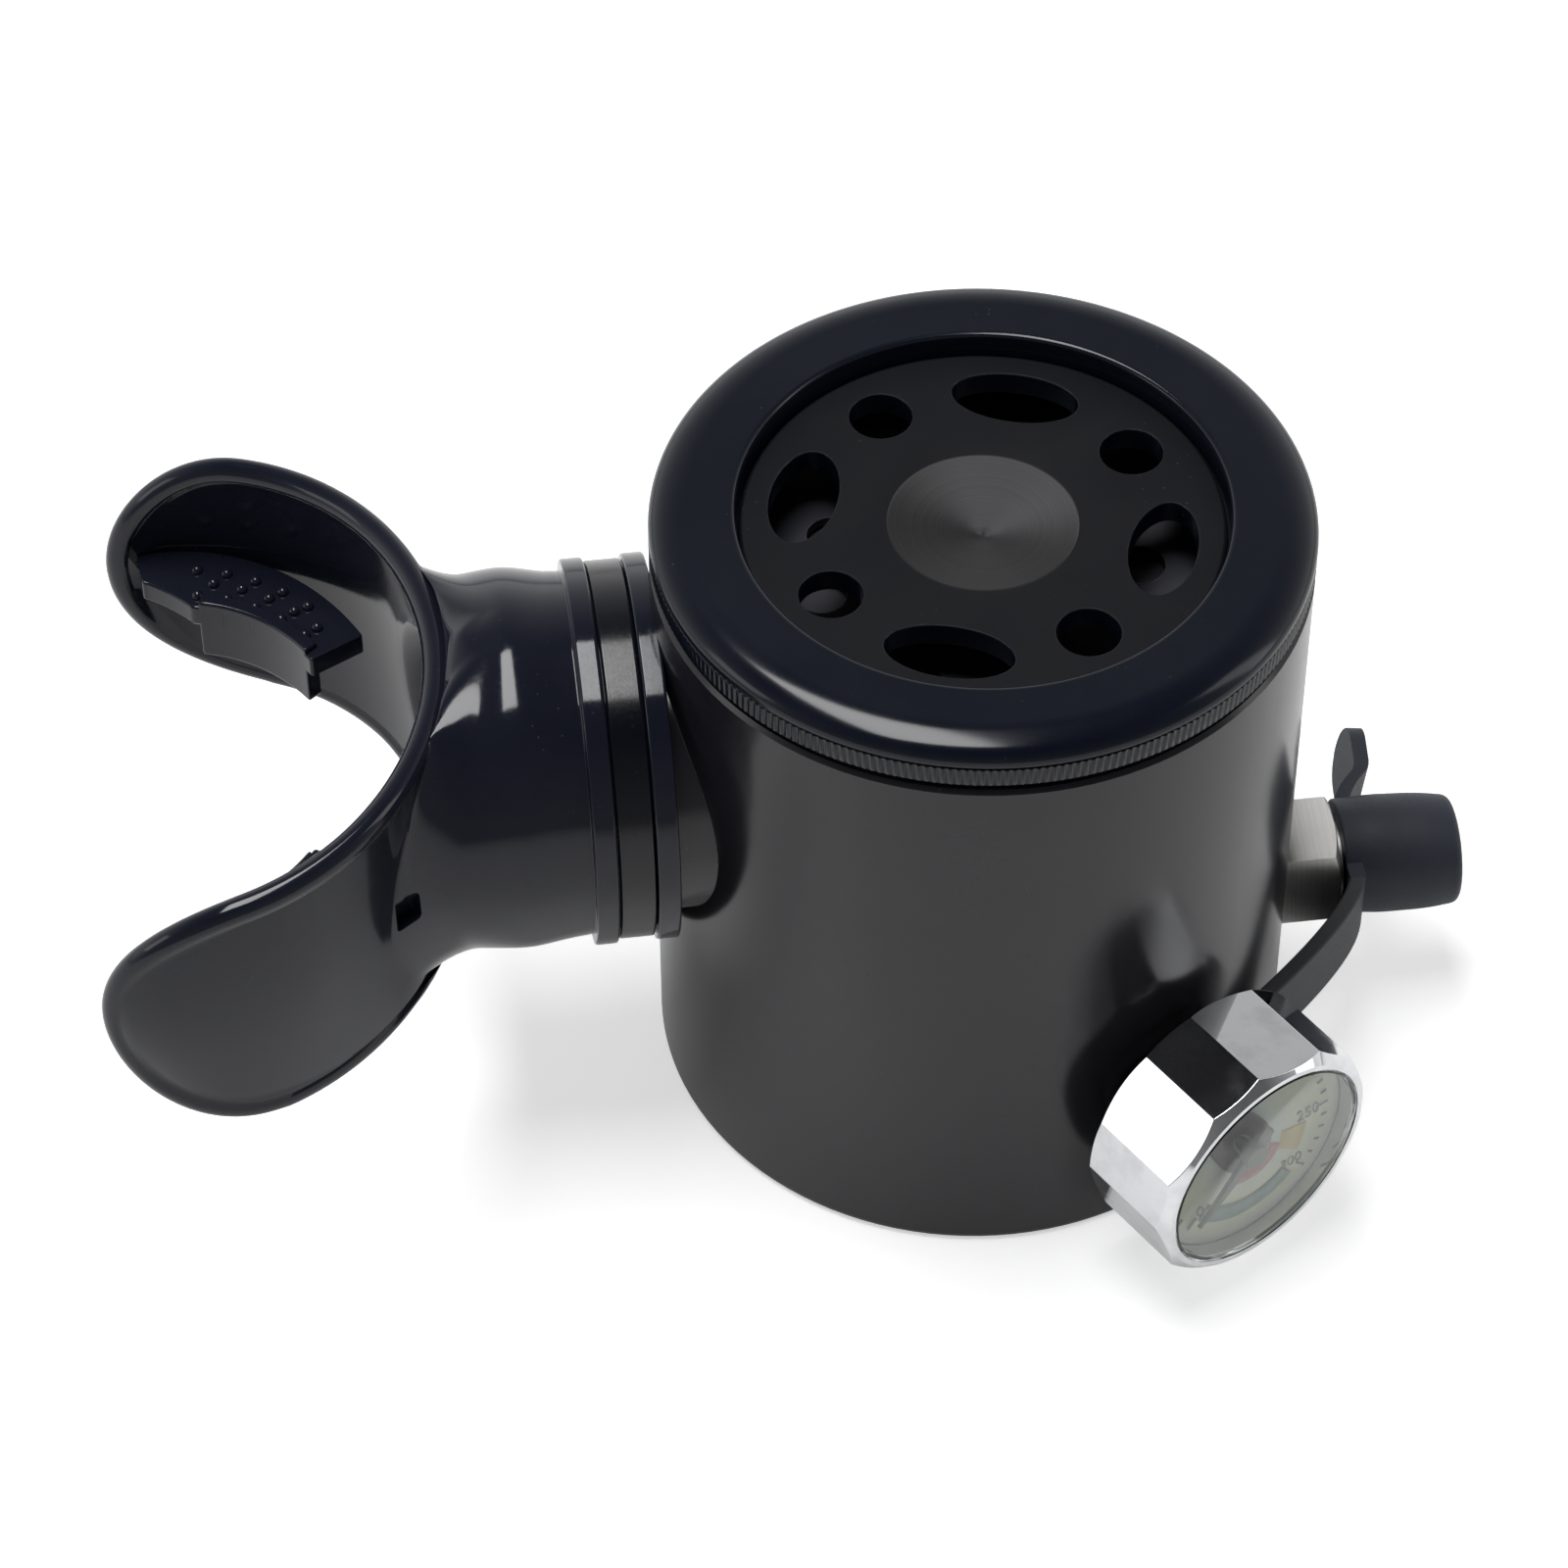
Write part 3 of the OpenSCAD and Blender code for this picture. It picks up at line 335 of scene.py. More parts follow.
def makeChrome():
    # Plated metal: near mirror, with faint handling smudges that dull it
    material, shader, place = startFinish("chrome", Metallic=1.0)
    grain, blotch = use(grainGroup, place, Fine=2500.0, Slow=260.0)
    edge = use(edgeGroup, place, Width=0.00018)[0]
    smudge = stretchTo(blotch, 0.48, 0.68)
    mixed = blendColours(smudge, chromeSet["colour"], chromeSet["smudge"])
    colour = blendColours(calc("MULTIPLY", edge, 0.5), mixed, chromeSet["edge"])
    dull = calc("ADD", calc("MULTIPLY", smudge, 0.7), calc("MULTIPLY", grain, 0.3))
    endFinish(shader, colour, stretchTo(dull, 0.1, 0.9, *chromeSet["rough"]), grain, chromeSet["depth"])
    return material


dimpleSet = {"light": (0.034, 0.034, 0.036), "dark": (0.026, 0.026, 0.028), "rough": (0.40, 0.44), "pitch": 5200.0}


def makeDimple():
    # The turned hollow: fine ring grooves that spread the light across them
    material, shader, place = startFinish("turned dimple", Metallic=0.6, Anisotropic=0.6)
    marks, bands = use(turnedGroup, place, Pitch=dimpleSet["pitch"])
    around = put(shader.id_data, "ShaderNodeTangent", direction_type="RADIAL", axis="Z")
    feed(shader.inputs["Tangent"], around.outputs[0])
    colour = blendColours(stretchTo(marks, 0.35, 0.65), dimpleSet["light"], dimpleSet["dark"])
    endFinish(shader, colour, stretchTo(bands, 0.3, 0.7, *dimpleSet["rough"]), marks, 1e-7)
    return material


def makeBrushedNickel():
    # Fine lines round the X axis: noise read along X only, slightly broken by a slow noise
    base, second, low, high, pitch = metalSet["nickel"][:5]
    material, shader, place = startFinish("brushed nickel", Metallic=1.0)
    lines = put(shader.id_data, "ShaderNodeTexNoise", noise_dimensions="1D", W=axesOf(place)[0], Scale=pitch,
                Detail=3.0).outputs[0]
    blotch = use(grainGroup, place, Fine=2500.0, Slow=300.0)[1]
    tone = calc("ADD", calc("MULTIPLY", lines, 0.8), calc("MULTIPLY", blotch, 0.2))
    colour = blendColours(stretchTo(tone, 0.35, 0.65), base, second)
    endFinish(shader, colour, stretchTo(lines, 0.35, 0.65, low, high))
    return material


finishes = {name: makePlain(name) for name in finishSet}
finishes.update({name: makeMetal(name) for name in metalSet})
finishes.update({"chrome": makeChrome(), "dimple": makeDimple(), "nickelSide": makeBrushedNickel()})
print("finishes made")

# Shape helpers


def gridFaces(rows, columns, closeRows=False, closeColumns=False):
    # Quads of a grid of points, wrapping round where asked
    i = np.arange(rows if closeRows else rows - 1)
    j = np.arange(columns if closeColumns else columns - 1)
    a, b = np.meshgrid(i, j, indexing="ij")
    c, d = (a + 1) % rows, (b + 1) % columns
    return np.stack([a * columns + b, c * columns + b, c * columns + d, a * columns + d], -1).reshape(-1, 4)


def xyz(*parts):
    # Coordinates spread to one common shape, side by side along a last axis
    return np.stack(np.broadcast_arrays(*parts), -1)


def fan(tip, base, count, flip=False):
    # Triangles from one point to each side of a closed row of points
    j = base + np.arange(count)
    k = base + (np.arange(count) + 1) % count
    return np.stack([np.full(count, tip), *((k, j) if flip else (j, k))], -1).tolist()


def softCorners(corners, soft, steps=4, closed=True):
    # Corners joined by straight lines; each is cut back by its soft distance and bridged by a quadratic curve,
    # with one more point on each side that keeps the flats flat
    p = np.array(corners, float)
    d = np.broadcast_to(np.array(soft, float), len(p)).copy()
    if not closed:
        d[[0, -1]] = 0
    before, after = np.roll(p, 1, 0) - p, np.roll(p, -1, 0) - p
    longBefore = np.linalg.norm(before, axis=1)
    longAfter = np.linalg.norm(after, axis=1)
    d = np.minimum(d, 0.45 * np.minimum(longBefore, longAfter))[:, None]
    toBefore, toAfter = before / longBefore[:, None], after / longAfter[:, None]
    t = np.linspace(0, 1, steps + 1)[None, :, None]
    start, end = p + toBefore * d, p + toAfter * d
    curve = (1 - t) ** 2 * start[:, None] + 2 * t * (1 - t) * p[:, None] + t ** 2 * end[:, None]
    guard = 0.08
    line = np.concatenate([(start + toBefore * d * guard)[:, None], curve, (end + toAfter * d * guard)[:, None]], 1)
    line = line.reshape(-1, p.shape[1])
    keep = np.linalg.norm(line - np.roll(line, 1, 0), axis=1) > 1e-5
    if not closed:
        keep[0] = True
    return line[keep]


def softBox(x0, x1, y0, y1, soft):
    return softCorners([(x0, y0), (x1, y0), (x1, y1), (x0, y1)], soft)


def turnedShape(profile, steps=192, closed=True):
    # Each (radius, height) of the profile goes round Z; an end at radius 0 is one point
    profile = np.array(profile, float)
    angle = np.linspace(0, 2 * math.pi, steps, endpoint=False)
    first, last = profile[0, 0] < 1e-6 and not closed, profile[-1, 0] < 1e-6 and not closed
    body = profile[int(first):len(profile) - int(last)]
    points = xyz(body[:, :1] * np.cos(angle), body[:, :1] * np.sin(angle), body[:, 1:]).reshape(-1, 3)
    faces = gridFaces(len(body), steps, closed, True).tolist()
    if first:
        points = np.vstack([points, [0, 0, profile[0, 1]]])
        faces += fan(len(points) - 1, 0, steps)
    if last:
        points = np.vstack([points, [0, 0, profile[-1, 1]]])
        faces += fan(len(points) - 1, (len(body) - 1) * steps, steps, True)
    return points, faces


def sweptShape(sections):
    # A closed section carried along: sections is (stations, points, 3); both ends are closed by one middle point
    n, k = sections.shape[:2]
    points = np.vstack([sections.reshape(-1, 3), sections[0].mean(0), sections[-1].mean(0)])
    return points, gridFaces(n, k, False, True).tolist() + fan(n * k, 0, k) + fan(n * k + 1, (n - 1) * k, k, True)


def joined(shapes):
    # Several closed shapes as one list of points and one of faces
    points, faces, base = [], [], 0
    for p, f in shapes:
        points.append(p)
        faces += [[base + i for i in face] for face in f]
        base += len(p)
    return np.vstack(points), faces


def facesOutward(points, faces):
    # The sum of each face's corner product is six times the volume; a negative sum means it is inside out
    fans = np.array([(f[0], f[i], f[i + 1]) for f in faces for i in range(1, len(f) - 1)])
    a, b, c = points[fans[:, 0]], points[fans[:, 1]], points[fans[:, 2]]
    if np.einsum("ij,ij->i", a, np.cross(b, c)).sum() < 0:
        return [f[::-1] for f in faces]
    return faces


def meshOf(name, points, faces):
    # Points in millimetres become a mesh in metres
    mesh = bpy.data.meshes.new(name)
    mesh.from_pydata((points * mm).tolist(), [], facesOutward(points, faces))
    mesh.update()
    return mesh


def settle(piece, body, replaced):
    # Its body and the CAD nodes that it stands for
    if body:
        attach(piece, body)
    if replaced:
        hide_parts(*replaced)
    return piece


def soften(piece, edge, segments=2, angle=30.0):
    # Rounds its edges by a width in millimetres
    bevel = piece.modifiers.new("edges", "BEVEL")
    bevel.width = edge * mm
    bevel.segments = segments
    bevel.limit_method = "ANGLE"
    bevel.angle_limit = math.radians(angle)
    bevel.harden_normals = True


def makePiece(name, shape, finish, body="head", replaced=(), edge=0.0, segments=2, angle=35.0):
    # A shape's mesh with its finish as its one material; an edge width adds a Bevel modifier
    mesh = meshOf(name, *shape)
    mesh.shade_smooth()
    mesh.materials.append(finishes[finish])
    piece = link(name, mesh)
    if edge:
        soften(piece, edge, segments, angle)
    return settle(piece, body, replaced)


def merged(node):
    # A copy of a CAD node's mesh, open for editing, with its doubled points merged
    mesh = nodes[node].data.copy()
    shape = bmesh.new()
    shape.from_mesh(mesh)
    bmesh.ops.remove_doubles(shape, verts=shape.verts, dist=2e-6)
    return mesh, shape


def softCopy(name, node, finish, body, edge):
    # A merged copy of a CAD node whose flat triangles are dissolved, so that its edges can be rounded
    mesh, shape = merged(node)
    mesh.name = name
    bmesh.ops.dissolve_limit(shape, angle_limit=math.radians(0.4), verts=shape.verts, edges=shape.edges)
    shape.to_mesh(mesh)
    shape.free()
    if mesh.attributes.get("custom_normal"):
        mesh.attributes.remove(mesh.attributes["custom_normal"])
    mesh.shade_smooth()
    mesh.set_sharp_from_angle(angle=math.radians(30))
    mesh.materials.clear()
    mesh.materials.append(finishes[finish])
    piece = link(name, mesh)
    soften(piece, edge)
    return settle(piece, body, [node])


def readOut(items, key, width=3, kind=float):
    # One property of every item as rows of an array
    values = np.empty(len(items) * width, kind)
    items.foreach_get(key, values)
    return values.reshape(-1, width)


def faceReach(mesh):
    # How far each face's farthest corner is from the Z axis
    spots = readOut(mesh.vertices, "co")
    corners = readOut(mesh.loops, "vertex_index", 1, np.int32)[:, 0]
    starts = readOut(mesh.polygons, "loop_start", 1, np.int32)[:, 0]
    return np.maximum.reduceat(np.hypot(spots[:, 0], spots[:, 1])[corners], starts)


def onAxis(shape, direction, height):
    # Local X goes down, local Y sideways and local Z along the direction, as the CAD's side axes do
    points, faces = shape
    angle = math.radians(direction)
    out = np.array([math.cos(angle), math.sin(angle), 0])
    side = np.array([-math.sin(angle), math.cos(angle), 0])
    down = np.array([0, 0, -1])
    return points[:, :1] * down + points[:, 1:2] * side + points[:, 2:3] * out + np.array([0, 0, height]), faces


# Mouthpiece

mouthSet = {
    "height": 44.6,                  # of its axis, mm
    "archCentre": -82.0,
    "half": (27.35, 30.85),          # half axes of the wall's middle line
    "wall": 1.0,                     # half its thickness
    "neck": 18.5,                    # radius where it meets the wings
    "swell": (-47.5, 19.3),          # its widest place and radius
    "roll": 0.014,                   # rise towards the far wing, per millimetre sideways
    "turn": (-43.0, -0.053, 12.0),   # where it starts to bend sideways, by how much and over what length
    "bead": 1.35,                    # radius of the rim's bead
    "beadFrom": (-42.0, 46.0),       # degrees round the bead at which it starts, on the wings and over the neck
    "beadTo": 222.0,
    "overNeck": (0.93, 0.07),        # from which sine round the neck it changes, and over how much
    "slope": 5.0,                    # length of the neck line's slope where it swells
    "rimEnd": 101.7,                 # degrees along the ellipse to the wing's tip
    "lift": 0.4,                     # of the outside over the bore
    "taper": (-57.0, 14.95, 0.08),   # half height at a place over the neck, and how fast it falls
    "close": -74.0,                  # where the wing's end starts to close
    "droop": (-60.0, 12.0, 0.14),    # where the lower half gets deeper, over what length and by what share
    "crown": 0.95,                   # how far the wings bow outwards
    "corner": (4.2, 1.6),            # size of the hollow between neck and wings, outside and inside
    "around": 288,
}
neckLine = [(-32.55, 15.1), (-32.55, 19.7), (-34.85, 19.7), (-34.85, 18.2), (-38.75, 18.2),
            (-38.75, 19.7), (-41.05, 19.7), (-41.05, 18.5), (-42.0, 18.6)]
neckSoft = [0, 0.3, 0.3, 0.12, 0.12, 0.3, 0.3, 0.25, 0]
boreLine = [(-43.0, 13.5), (-41.15, 13.5), (-41.15, 15.1), (-37.0, 15.1)]


def wingHalf(x):
    # Half height of the rim's middle: a slow taper from the neck, closed by a quarter ellipse at the tip
    place, middle, fall = mouthSet["taper"]
    close = mouthSet["close"]
    tip = mouthSet["archCentre"] + mouthSet["half"][0] * math.cos(math.radians(mouthSet["rimEnd"]))
    past = np.clip((close - x) / (close - tip), 0, 1)
    return (middle + fall * (x - place)) * np.sqrt(np.clip(1 - past ** 2, 0, 1))


def onArch(t, z, off):
    # A point of the wall: the ellipse at angle t, raised by z and moved along its outward normal
    a, b = mouthSet["half"]
    x, y = mouthSet["archCentre"] + a * np.cos(t), b * np.sin(t)
    nx, ny = np.cos(t) / a, np.sin(t) / b
    size = np.hypot(nx, ny)
    half = wingHalf(x)
    v = np.clip(z / np.maximum(half, 1e-3), -1, 1)
    out = off + mouthSet["crown"] * (1 - v ** 2) * np.minimum(1, half / 10)
    return xyz(x + nx / size * out, y + ny / size * out, mouthSet["height"] + z)


def bent(points):
    # The rubber turns a little sideways about the neck, more and more over the first millimetres
    start, angle, over = mouthSet["turn"]
    share = np.clip((start - points[:, 0]) / over, 0, 1)
    turn = angle * share ** 0.5
    x, y = points[:, 0] - start, points[:, 1]
    return xyz(start + x * np.cos(turn) - y * np.sin(turn), x * np.sin(turn) + y * np.cos(turn),
               points[:, 2] + mouthSet["roll"] * y * share)


def hermite(p, dp, q, dq, steps):
    # A cubic from p to q with the slopes dp and dq
    u = np.linspace(0, 1, steps)[None, :, None]
    p, dp, q, dq = (v[:, None] for v in (p, dp, q, dq))
    return ((2 * u ** 3 - 3 * u ** 2 + 1) * p + (u ** 3 - 2 * u ** 2 + u) * dp
            + (3 * u ** 2 - 2 * u ** 3) * q + (u ** 3 - u ** 2) * dq)


def unit(v):
    return v / np.maximum(np.linalg.norm(v, axis=-1, keepdims=True), 1e-9)


def wallWithCorner(t0, z0, off0, t1, z1, off1, line, size, steps):
    # The wall from its foot to its rim, in even steps of t and z; the foot is bridged to the neck line by a cubic
    def wallAt(w):
        return onArch(t0[:, None] + (t1 - t0)[:, None] * w, z0[:, None] + (z1 - z0)[:, None] * w,
                      off0 + (off1[:, None] - off0) * w)

    v = np.linspace(0, 1, 61)
    wall = wallAt(v[None])
    run = np.concatenate([np.zeros((len(t0), 1)), np.cumsum(np.linalg.norm(np.diff(wall, axis=1), axis=2), axis=1)], 1)
    reach = np.minimum(size, 0.8 * run[:, -1])
    away = unit(line - wall[:, 0])
    begin = wall[:, 0] + away * reach[:, None]
    share = np.array([np.interp(r, s, v) for r, s in zip(reach, run)])[:, None]
    meet = wallAt(share)[:, 0]
    slope = unit(wallAt(np.minimum(share + 0.01, 1))[:, 0] - meet)
    corner = hermite(begin, -away * 1.2 * reach[:, None], meet, slope * 1.2 * reach[:, None], 11)
    return begin, corner, wallAt(share + (1 - share) * np.linspace(0, 1, steps)[None, 1:])


def mouthShape(rows=26, lipRows=16):
    # One section of the rubber for each angle round the neck: ribs, neck, corner, wall, bead, wall, corner and bore
    phi = np.linspace(0, 2 * math.pi, mouthSet["around"], endpoint=False)
    a, b = mouthSet["half"]
    high, wall, bead = mouthSet["height"], mouthSet["wall"], mouthSet["bead"]
    cosine, sine = np.cos(phi), np.sin(phi)
    rim = math.radians(mouthSet["rimEnd"]) * cosine
    rimX = mouthSet["archCentre"] + a * np.cos(rim)
    droopFrom, droopOver, droop = mouthSet["droop"]
    deeper = 1 + droop * np.clip((droopFrom - rimX) / droopOver, 0, 1) * (sine < 0)
    rimZ = np.sign(np.round(sine, 9)) * wingHalf(rimX) * deeper
    centre = xyz(rimX, b * np.sin(rim), high + rimZ)
    along = unit(np.roll(centre, -1, 0) - np.roll(centre, 1, 0))
    normal = unit(xyz(np.cos(rim) / a, np.sin(rim) / b, 0))
    outer = unit(np.cross(along, normal))
    # The bead starts lower on the wings than over the neck, where the neck runs straight into it
    low, width = mouthSet["overNeck"]
    over = np.clip((np.abs(sine) - low) / width, 0, 1)
    over = over * over * (3 - 2 * over)
    onWing, onNeck = mouthSet["beadFrom"]
    start = np.radians(onWing + (onNeck - onWing) * over)
    end = math.radians(mouthSet["beadTo"])
    lean = xyz(-a * np.sin(rim), b * np.cos(rim), 0)
    longLean = np.linalg.norm(lean, axis=1)
    sideways = np.einsum("ij,ij->i", outer, unit(lean))

    def shifted(distance):
        return rim + distance * sideways / longLean, rimZ + distance * outer[:, 2]

    def around(x, radius, middle):
        return xyz(x, radius * cosine[:, None], middle + radius * sine[:, None])

    raised = high + mouthSet["lift"]
    boreRadius = boreLine[0][1]
    line, step, boreEnd = (around(*spot, middle)[:, 0] for spot, middle in (
        (mouthSet["swell"], raised), (neckLine[-1], raised), (boreLine[0], high)))
    t0, z0 = np.arcsin(mouthSet["neck"] * cosine / (b + wall)), mouthSet["neck"] * sine
    begin, corner, outside = wallWithCorner(t0, z0, wall, *shifted(bead * np.sin(start)), bead * np.cos(start),
                                            line, mouthSet["corner"][0], rows)
    t0, z0 = np.arcsin(boreRadius * cosine / (b - wall)), boreRadius * sine
    cornerIn, inside = wallWithCorner(t0, z0, -wall, *shifted(bead * math.sin(end)), np.full_like(phi, -wall),
                                      boreEnd, mouthSet["corner"][1], rows)[1:]
    reach = np.linalg.norm(begin - line, axis=1)[:, None]
    forward = xyz(-1.0, 0 * phi, 0)
    slope = forward * mouthSet["slope"]
    rise = slope + unit(line - step) * [0, 1.0, 1.0] * 1.2
    neck = np.concatenate([hermite(step, rise, line, slope, 7)[:, 1:],
                           hermite(line, forward * reach, begin, unit(begin - line) * reach, 8)[:, 1:-1]], 1)
    ribs = around(*softCorners(neckLine, neckSoft, 4, closed=False).T, raised)
    ribs[:, 0, 2] -= mouthSet["lift"]
    beta = (start[:, None] + (end - start)[:, None] * np.linspace(0, 1, lipRows)[None, 1:-1])[..., None]
    lip = centre[:, None] + bead * (np.cos(beta) * normal[:, None] + np.sin(beta) * outer[:, None])
    back = np.concatenate([cornerIn, inside], 1)[:, ::-1]
    grid = np.concatenate([ribs, neck, corner, outside, lip, back, around(*np.array(boreLine).T, high)], 1)
    return bent(grid.reshape(-1, 3)), gridFaces(*grid.shape[:2], True, True).tolist()


mouthpiece = makePiece("mouthpieceSkin", mouthShape(), "mouth_rubber", replaced=["mouthpiece"])
pocketSet = {
    "centre": (-58.79, 20.70, 46.4), "facing": (0.486, 0.874),
    "size": (2.6, 2.9, 4.8),   # depth, width and height
    "soft": 0.7,
}


def cutPockets(piece):
    # One shallow pocket in the wall on each side, cut by a rounded block
    cx, cy, cz = pocketSet["centre"]
    outX, outY = pocketSet["facing"]
    deep, wide, tall = (v / 2 for v in pocketSet["size"])
    for side in (1, -1):
        section = softCorners([(-wide, -tall), (wide, -tall * 0.8), (wide, tall * 0.75), (-wide, tall * 0.9)],
                              pocketSet["soft"], 3)
        points, faces = sweptShape(xyz([[-deep], [deep]], section[:, 0], section[:, 1]))
        out, along = np.array([outX, side * outY, 0]), np.array([outY, -side * outX, 0])
        points = points[:, :1] * out + points[:, 1:2] * along + points[:, 2:] * [0, 0, 1] + [cx, side * cy, cz]
        block = link("pocket", meshOf("pocket", bent(points), faces))
        cut = piece.modifiers.new("pocket", "BOOLEAN")
        cut.object, cut.operation, cut.solver = block, "DIFFERENCE", "EXACT"
        result = bpy.data.meshes.new_from_object(piece.evaluated_get(bpy.context.evaluated_depsgraph_get()))
        piece.modifiers.clear()
        piece.data = result
        bpy.data.objects.remove(block)
    piece.data.shade_smooth()
    piece.data.set_sharp_from_angle(angle=math.radians(50))


cutPockets(mouthpiece)
print("mouthpiece made", len(mouthpiece.data.polygons))

biteSet = {
    "top": 46.2, "thick": 2.6,            # the shelf, mm
    "inner": (18.1, 22.3), "outer": (23.75, 30.55),
    "ends": (38.0, 33.6, 98.5),           # inner and outer start and the far end, degrees
    "narrow": (83.0, 15.0),               # where the inner edge steps back and over how many degrees
    "narrowBy": (0.135, 0.18225),         # shares of its half axes
    "lug": (39.1, 46.85), "lugThick": 1.7, "lugSpan": (40.5, 81.0),
    "nub": 0.68,
    "nearShift": (0, 0.9, 1.2),
}
# half axes in mm, first and last angle and step in degrees
nubRows = [((22.3, 27.6), 83.0, 43.5, 8.1), ((21.2, 25.9), 78.0, 44.0, 8.3), ((19.8, 24.0), 82.0, 46.0, 9.0)]


def onShelf(rx, ry, t, z, side):
    # A point of an ellipse about the arch's centre, at angle t and height z
    return xyz(mouthSet["archCentre"] + rx * np.cos(t), side * ry * np.sin(t), z)


def shelfShape(side):
    # A slab between two ellipses; its section is a box whose inner edge steps back past the lug
    s = np.array([0, 0, 1.0, 1.0])
    level = biteSet["top"] - biteSet["thick"] * np.array([1.0, 0, 0, 1.0])
    first, second, last = np.radians(biteSet["ends"])
    begin = first + (second - first) * s
    t = begin + (last - begin) * np.linspace(0, 1, 60)[:, None]
    narrowFrom, narrowOver = biteSet["narrow"]
    past = np.clip((np.degrees(t) - narrowFrom) / narrowOver, 0, 1)
    rx, ry = (inner * (1 + by * past) * (1 - s) + outer * s
              for inner, outer, by in zip(biteSet["inner"], biteSet["outer"], biteSet["narrowBy"]))
    return sweptShape(onShelf(rx, ry, t, level, side))


def lugShape(side):
    # A wall along the shelf's inner edge, from below the shelf to just above it
    t = np.radians(np.linspace(*biteSet["lugSpan"], 36))[:, None]
    low, high = biteSet["lug"]
    out = np.array([0, 0, biteSet["lugThick"], biteSet["lugThick"]])
    rx, ry = biteSet["inner"]
    return sweptShape(onShelf(rx + out, ry + out, t, np.array([low, high, high, low]), side))


def nubShapes(side):
    # Low domes in staggered rows along the shelf
    u = np.radians(np.linspace(-25, 80, 6))[:, None]
    w = np.linspace(0, 2 * math.pi, 12, endpoint=False)
    dome = xyz(np.cos(u) * np.cos(w), np.cos(u) * np.sin(w), np.sin(u)) * biteSet["nub"]
    shapes = []
    for (rx, ry), first, last, step in nubRows:
        t = np.radians(np.arange(first, last - 0.01, -step))
        shapes += [sweptShape(dome + place) for place in onShelf(rx, ry, t, biteSet["top"], side)]
    return joined(shapes)


def bentShape(shape, side):
    # The near tab sits a little further in and higher than the far one
    return bent(shape[0] + np.array(biteSet["nearShift"]) * (side < 0)), shape[1]


for side, word in ((1, "Far"), (-1, "Near")):
    for part, shape, edge, segments in (("Shelf", shelfShape, 0.3, 2), ("Lug", lugShape, 0.35, 3),
                                        ("Nubs", nubShapes, 0, 2)):
        makePiece("bite" + part + word, bentShape(shape(side), side), "mouth_rubber", edge=edge, segments=segments)
print("bite tabs made")

bandSet = {
    "from": -38.6, "to": -35.0, "inside": 18.25, "outside": 19.28, "soft": (0.1, 0.3, 0.3, 0.1),
    "head": (5.2, 3.4, 3.5), "headFrom": 18.6, "headAt": 36.8, "headTurn": -45.0,
    "height": mouthSet["height"] + mouthSet["lift"],
}


def bandShape():
    # A flat ring round the neck between the two ribs
    a, b, r, q = bandSet["from"], bandSet["to"], bandSet["inside"], bandSet["outside"]
    return onAxis(turnedShape(softBox(r, q, -b, -a, bandSet["soft"]), 224), 180, bandSet["height"])


def bandHeadShape():
    # The tie's square head, on the hidden side of the neck
    wide, tall, deep = bandSet["head"]
    y = np.array([-0.5, 0.5, 0.5, -0.5]) * wide
    z = np.array([-0.5, -0.5, 0.5, 0.5]) * deep + bandSet["headAt"]
    points, faces = sweptShape(xyz(bandSet["headFrom"] + tall * np.array([[0], [1]]), y, z))
    c, s = (f(math.radians(bandSet["headTurn"])) for f in (math.cos, math.sin))
    x, y, z = points.T
    return onAxis((xyz(x * c - y * s, x * s + y * c, z), faces), 180, bandSet["height"])


makePiece("tieBand", bandShape(), "band", replaced=["mouthpiece_band"])
makePiece("tieHead", bandHeadShape(), "band", edge=0.5, segments=3)
print("band made")

# Top ring and purge disc

ringSet = {
    "round": (3.8, 2.1, 33.0, 75.0),   # shoulder's width and drop, outer radius and top
    "teeth": 270, "depth": 0.22, "inside": 30.5, "radius": 33.0, "knurl": (70.2, 72.35), "soft": 0.12,
    "softLower": (0, 0.1, 0.1, 0.1, 0.1, 0.1, 0.03, 0.03, 0.03, 0.03, 0), "softUpper": (0, 0.6, 0.2, 0),
}
ringLower = [(25.9, 64.6), (29.1, 64.6), (29.1, 69.3), (31.6, 69.3), (31.6, 70.2), (32.5, 70.4), (32.5, 72.3),
             (32.6, 72.4), (32.6, 72.6), (33.0, 72.72), (33.0, 72.85)]
ringUpper = [(29.0, 75.0), (24.4, 75.0), (24.4, 71.5), (25.9, 71.5)]


def knurlShape():
    # A band round the ring's foot: between every two teeth the radius falls to a valley, less so near its edges
    low, high = ringSet["knurl"]
    soft, radius, inside = ringSet["soft"], ringSet["radius"], ringSet["inside"]
    profile = np.array([(inside, low), (radius - soft, low), (radius, low + soft), (radius, (low + high) / 2),
                        (radius, high - soft), (radius - soft, high), (inside, high)])
    cut = np.array([0, 0.0, 1, 1, 1, 0.0, 0]) * ringSet["depth"] / radius
    steps = ringSet["teeth"] * 4
    points, faces = turnedShape(profile, steps)
    valley = 1 - np.abs((np.arange(steps) % 4) / 2 - 1)
    points[:, :2] *= (1 - cut[:, None] * valley).reshape(-1, 1)
    return points, faces


def ringShape():
    # The soft-cornered profile, with a quarter ellipse for its outer shoulder, goes round Z
    across, down, radius, top = ringSet["round"]
    a = np.radians(np.linspace(0, 90, 22))
    shoulder = xyz(radius - across + across * np.cos(a), top - down + down * np.sin(a))
    lower = softCorners(ringLower, ringSet["softLower"], 5, closed=False)
    upper = softCorners(ringUpper, ringSet["softUpper"], 8, closed=False)
    profile = np.vstack([lower, shoulder, upper])
    return joined([turnedShape(profile, 360), knurlShape()])


makePiece("topRingTurned", ringShape(), "anodised_gloss", replaced=["top_ring"])
print("top ring made")

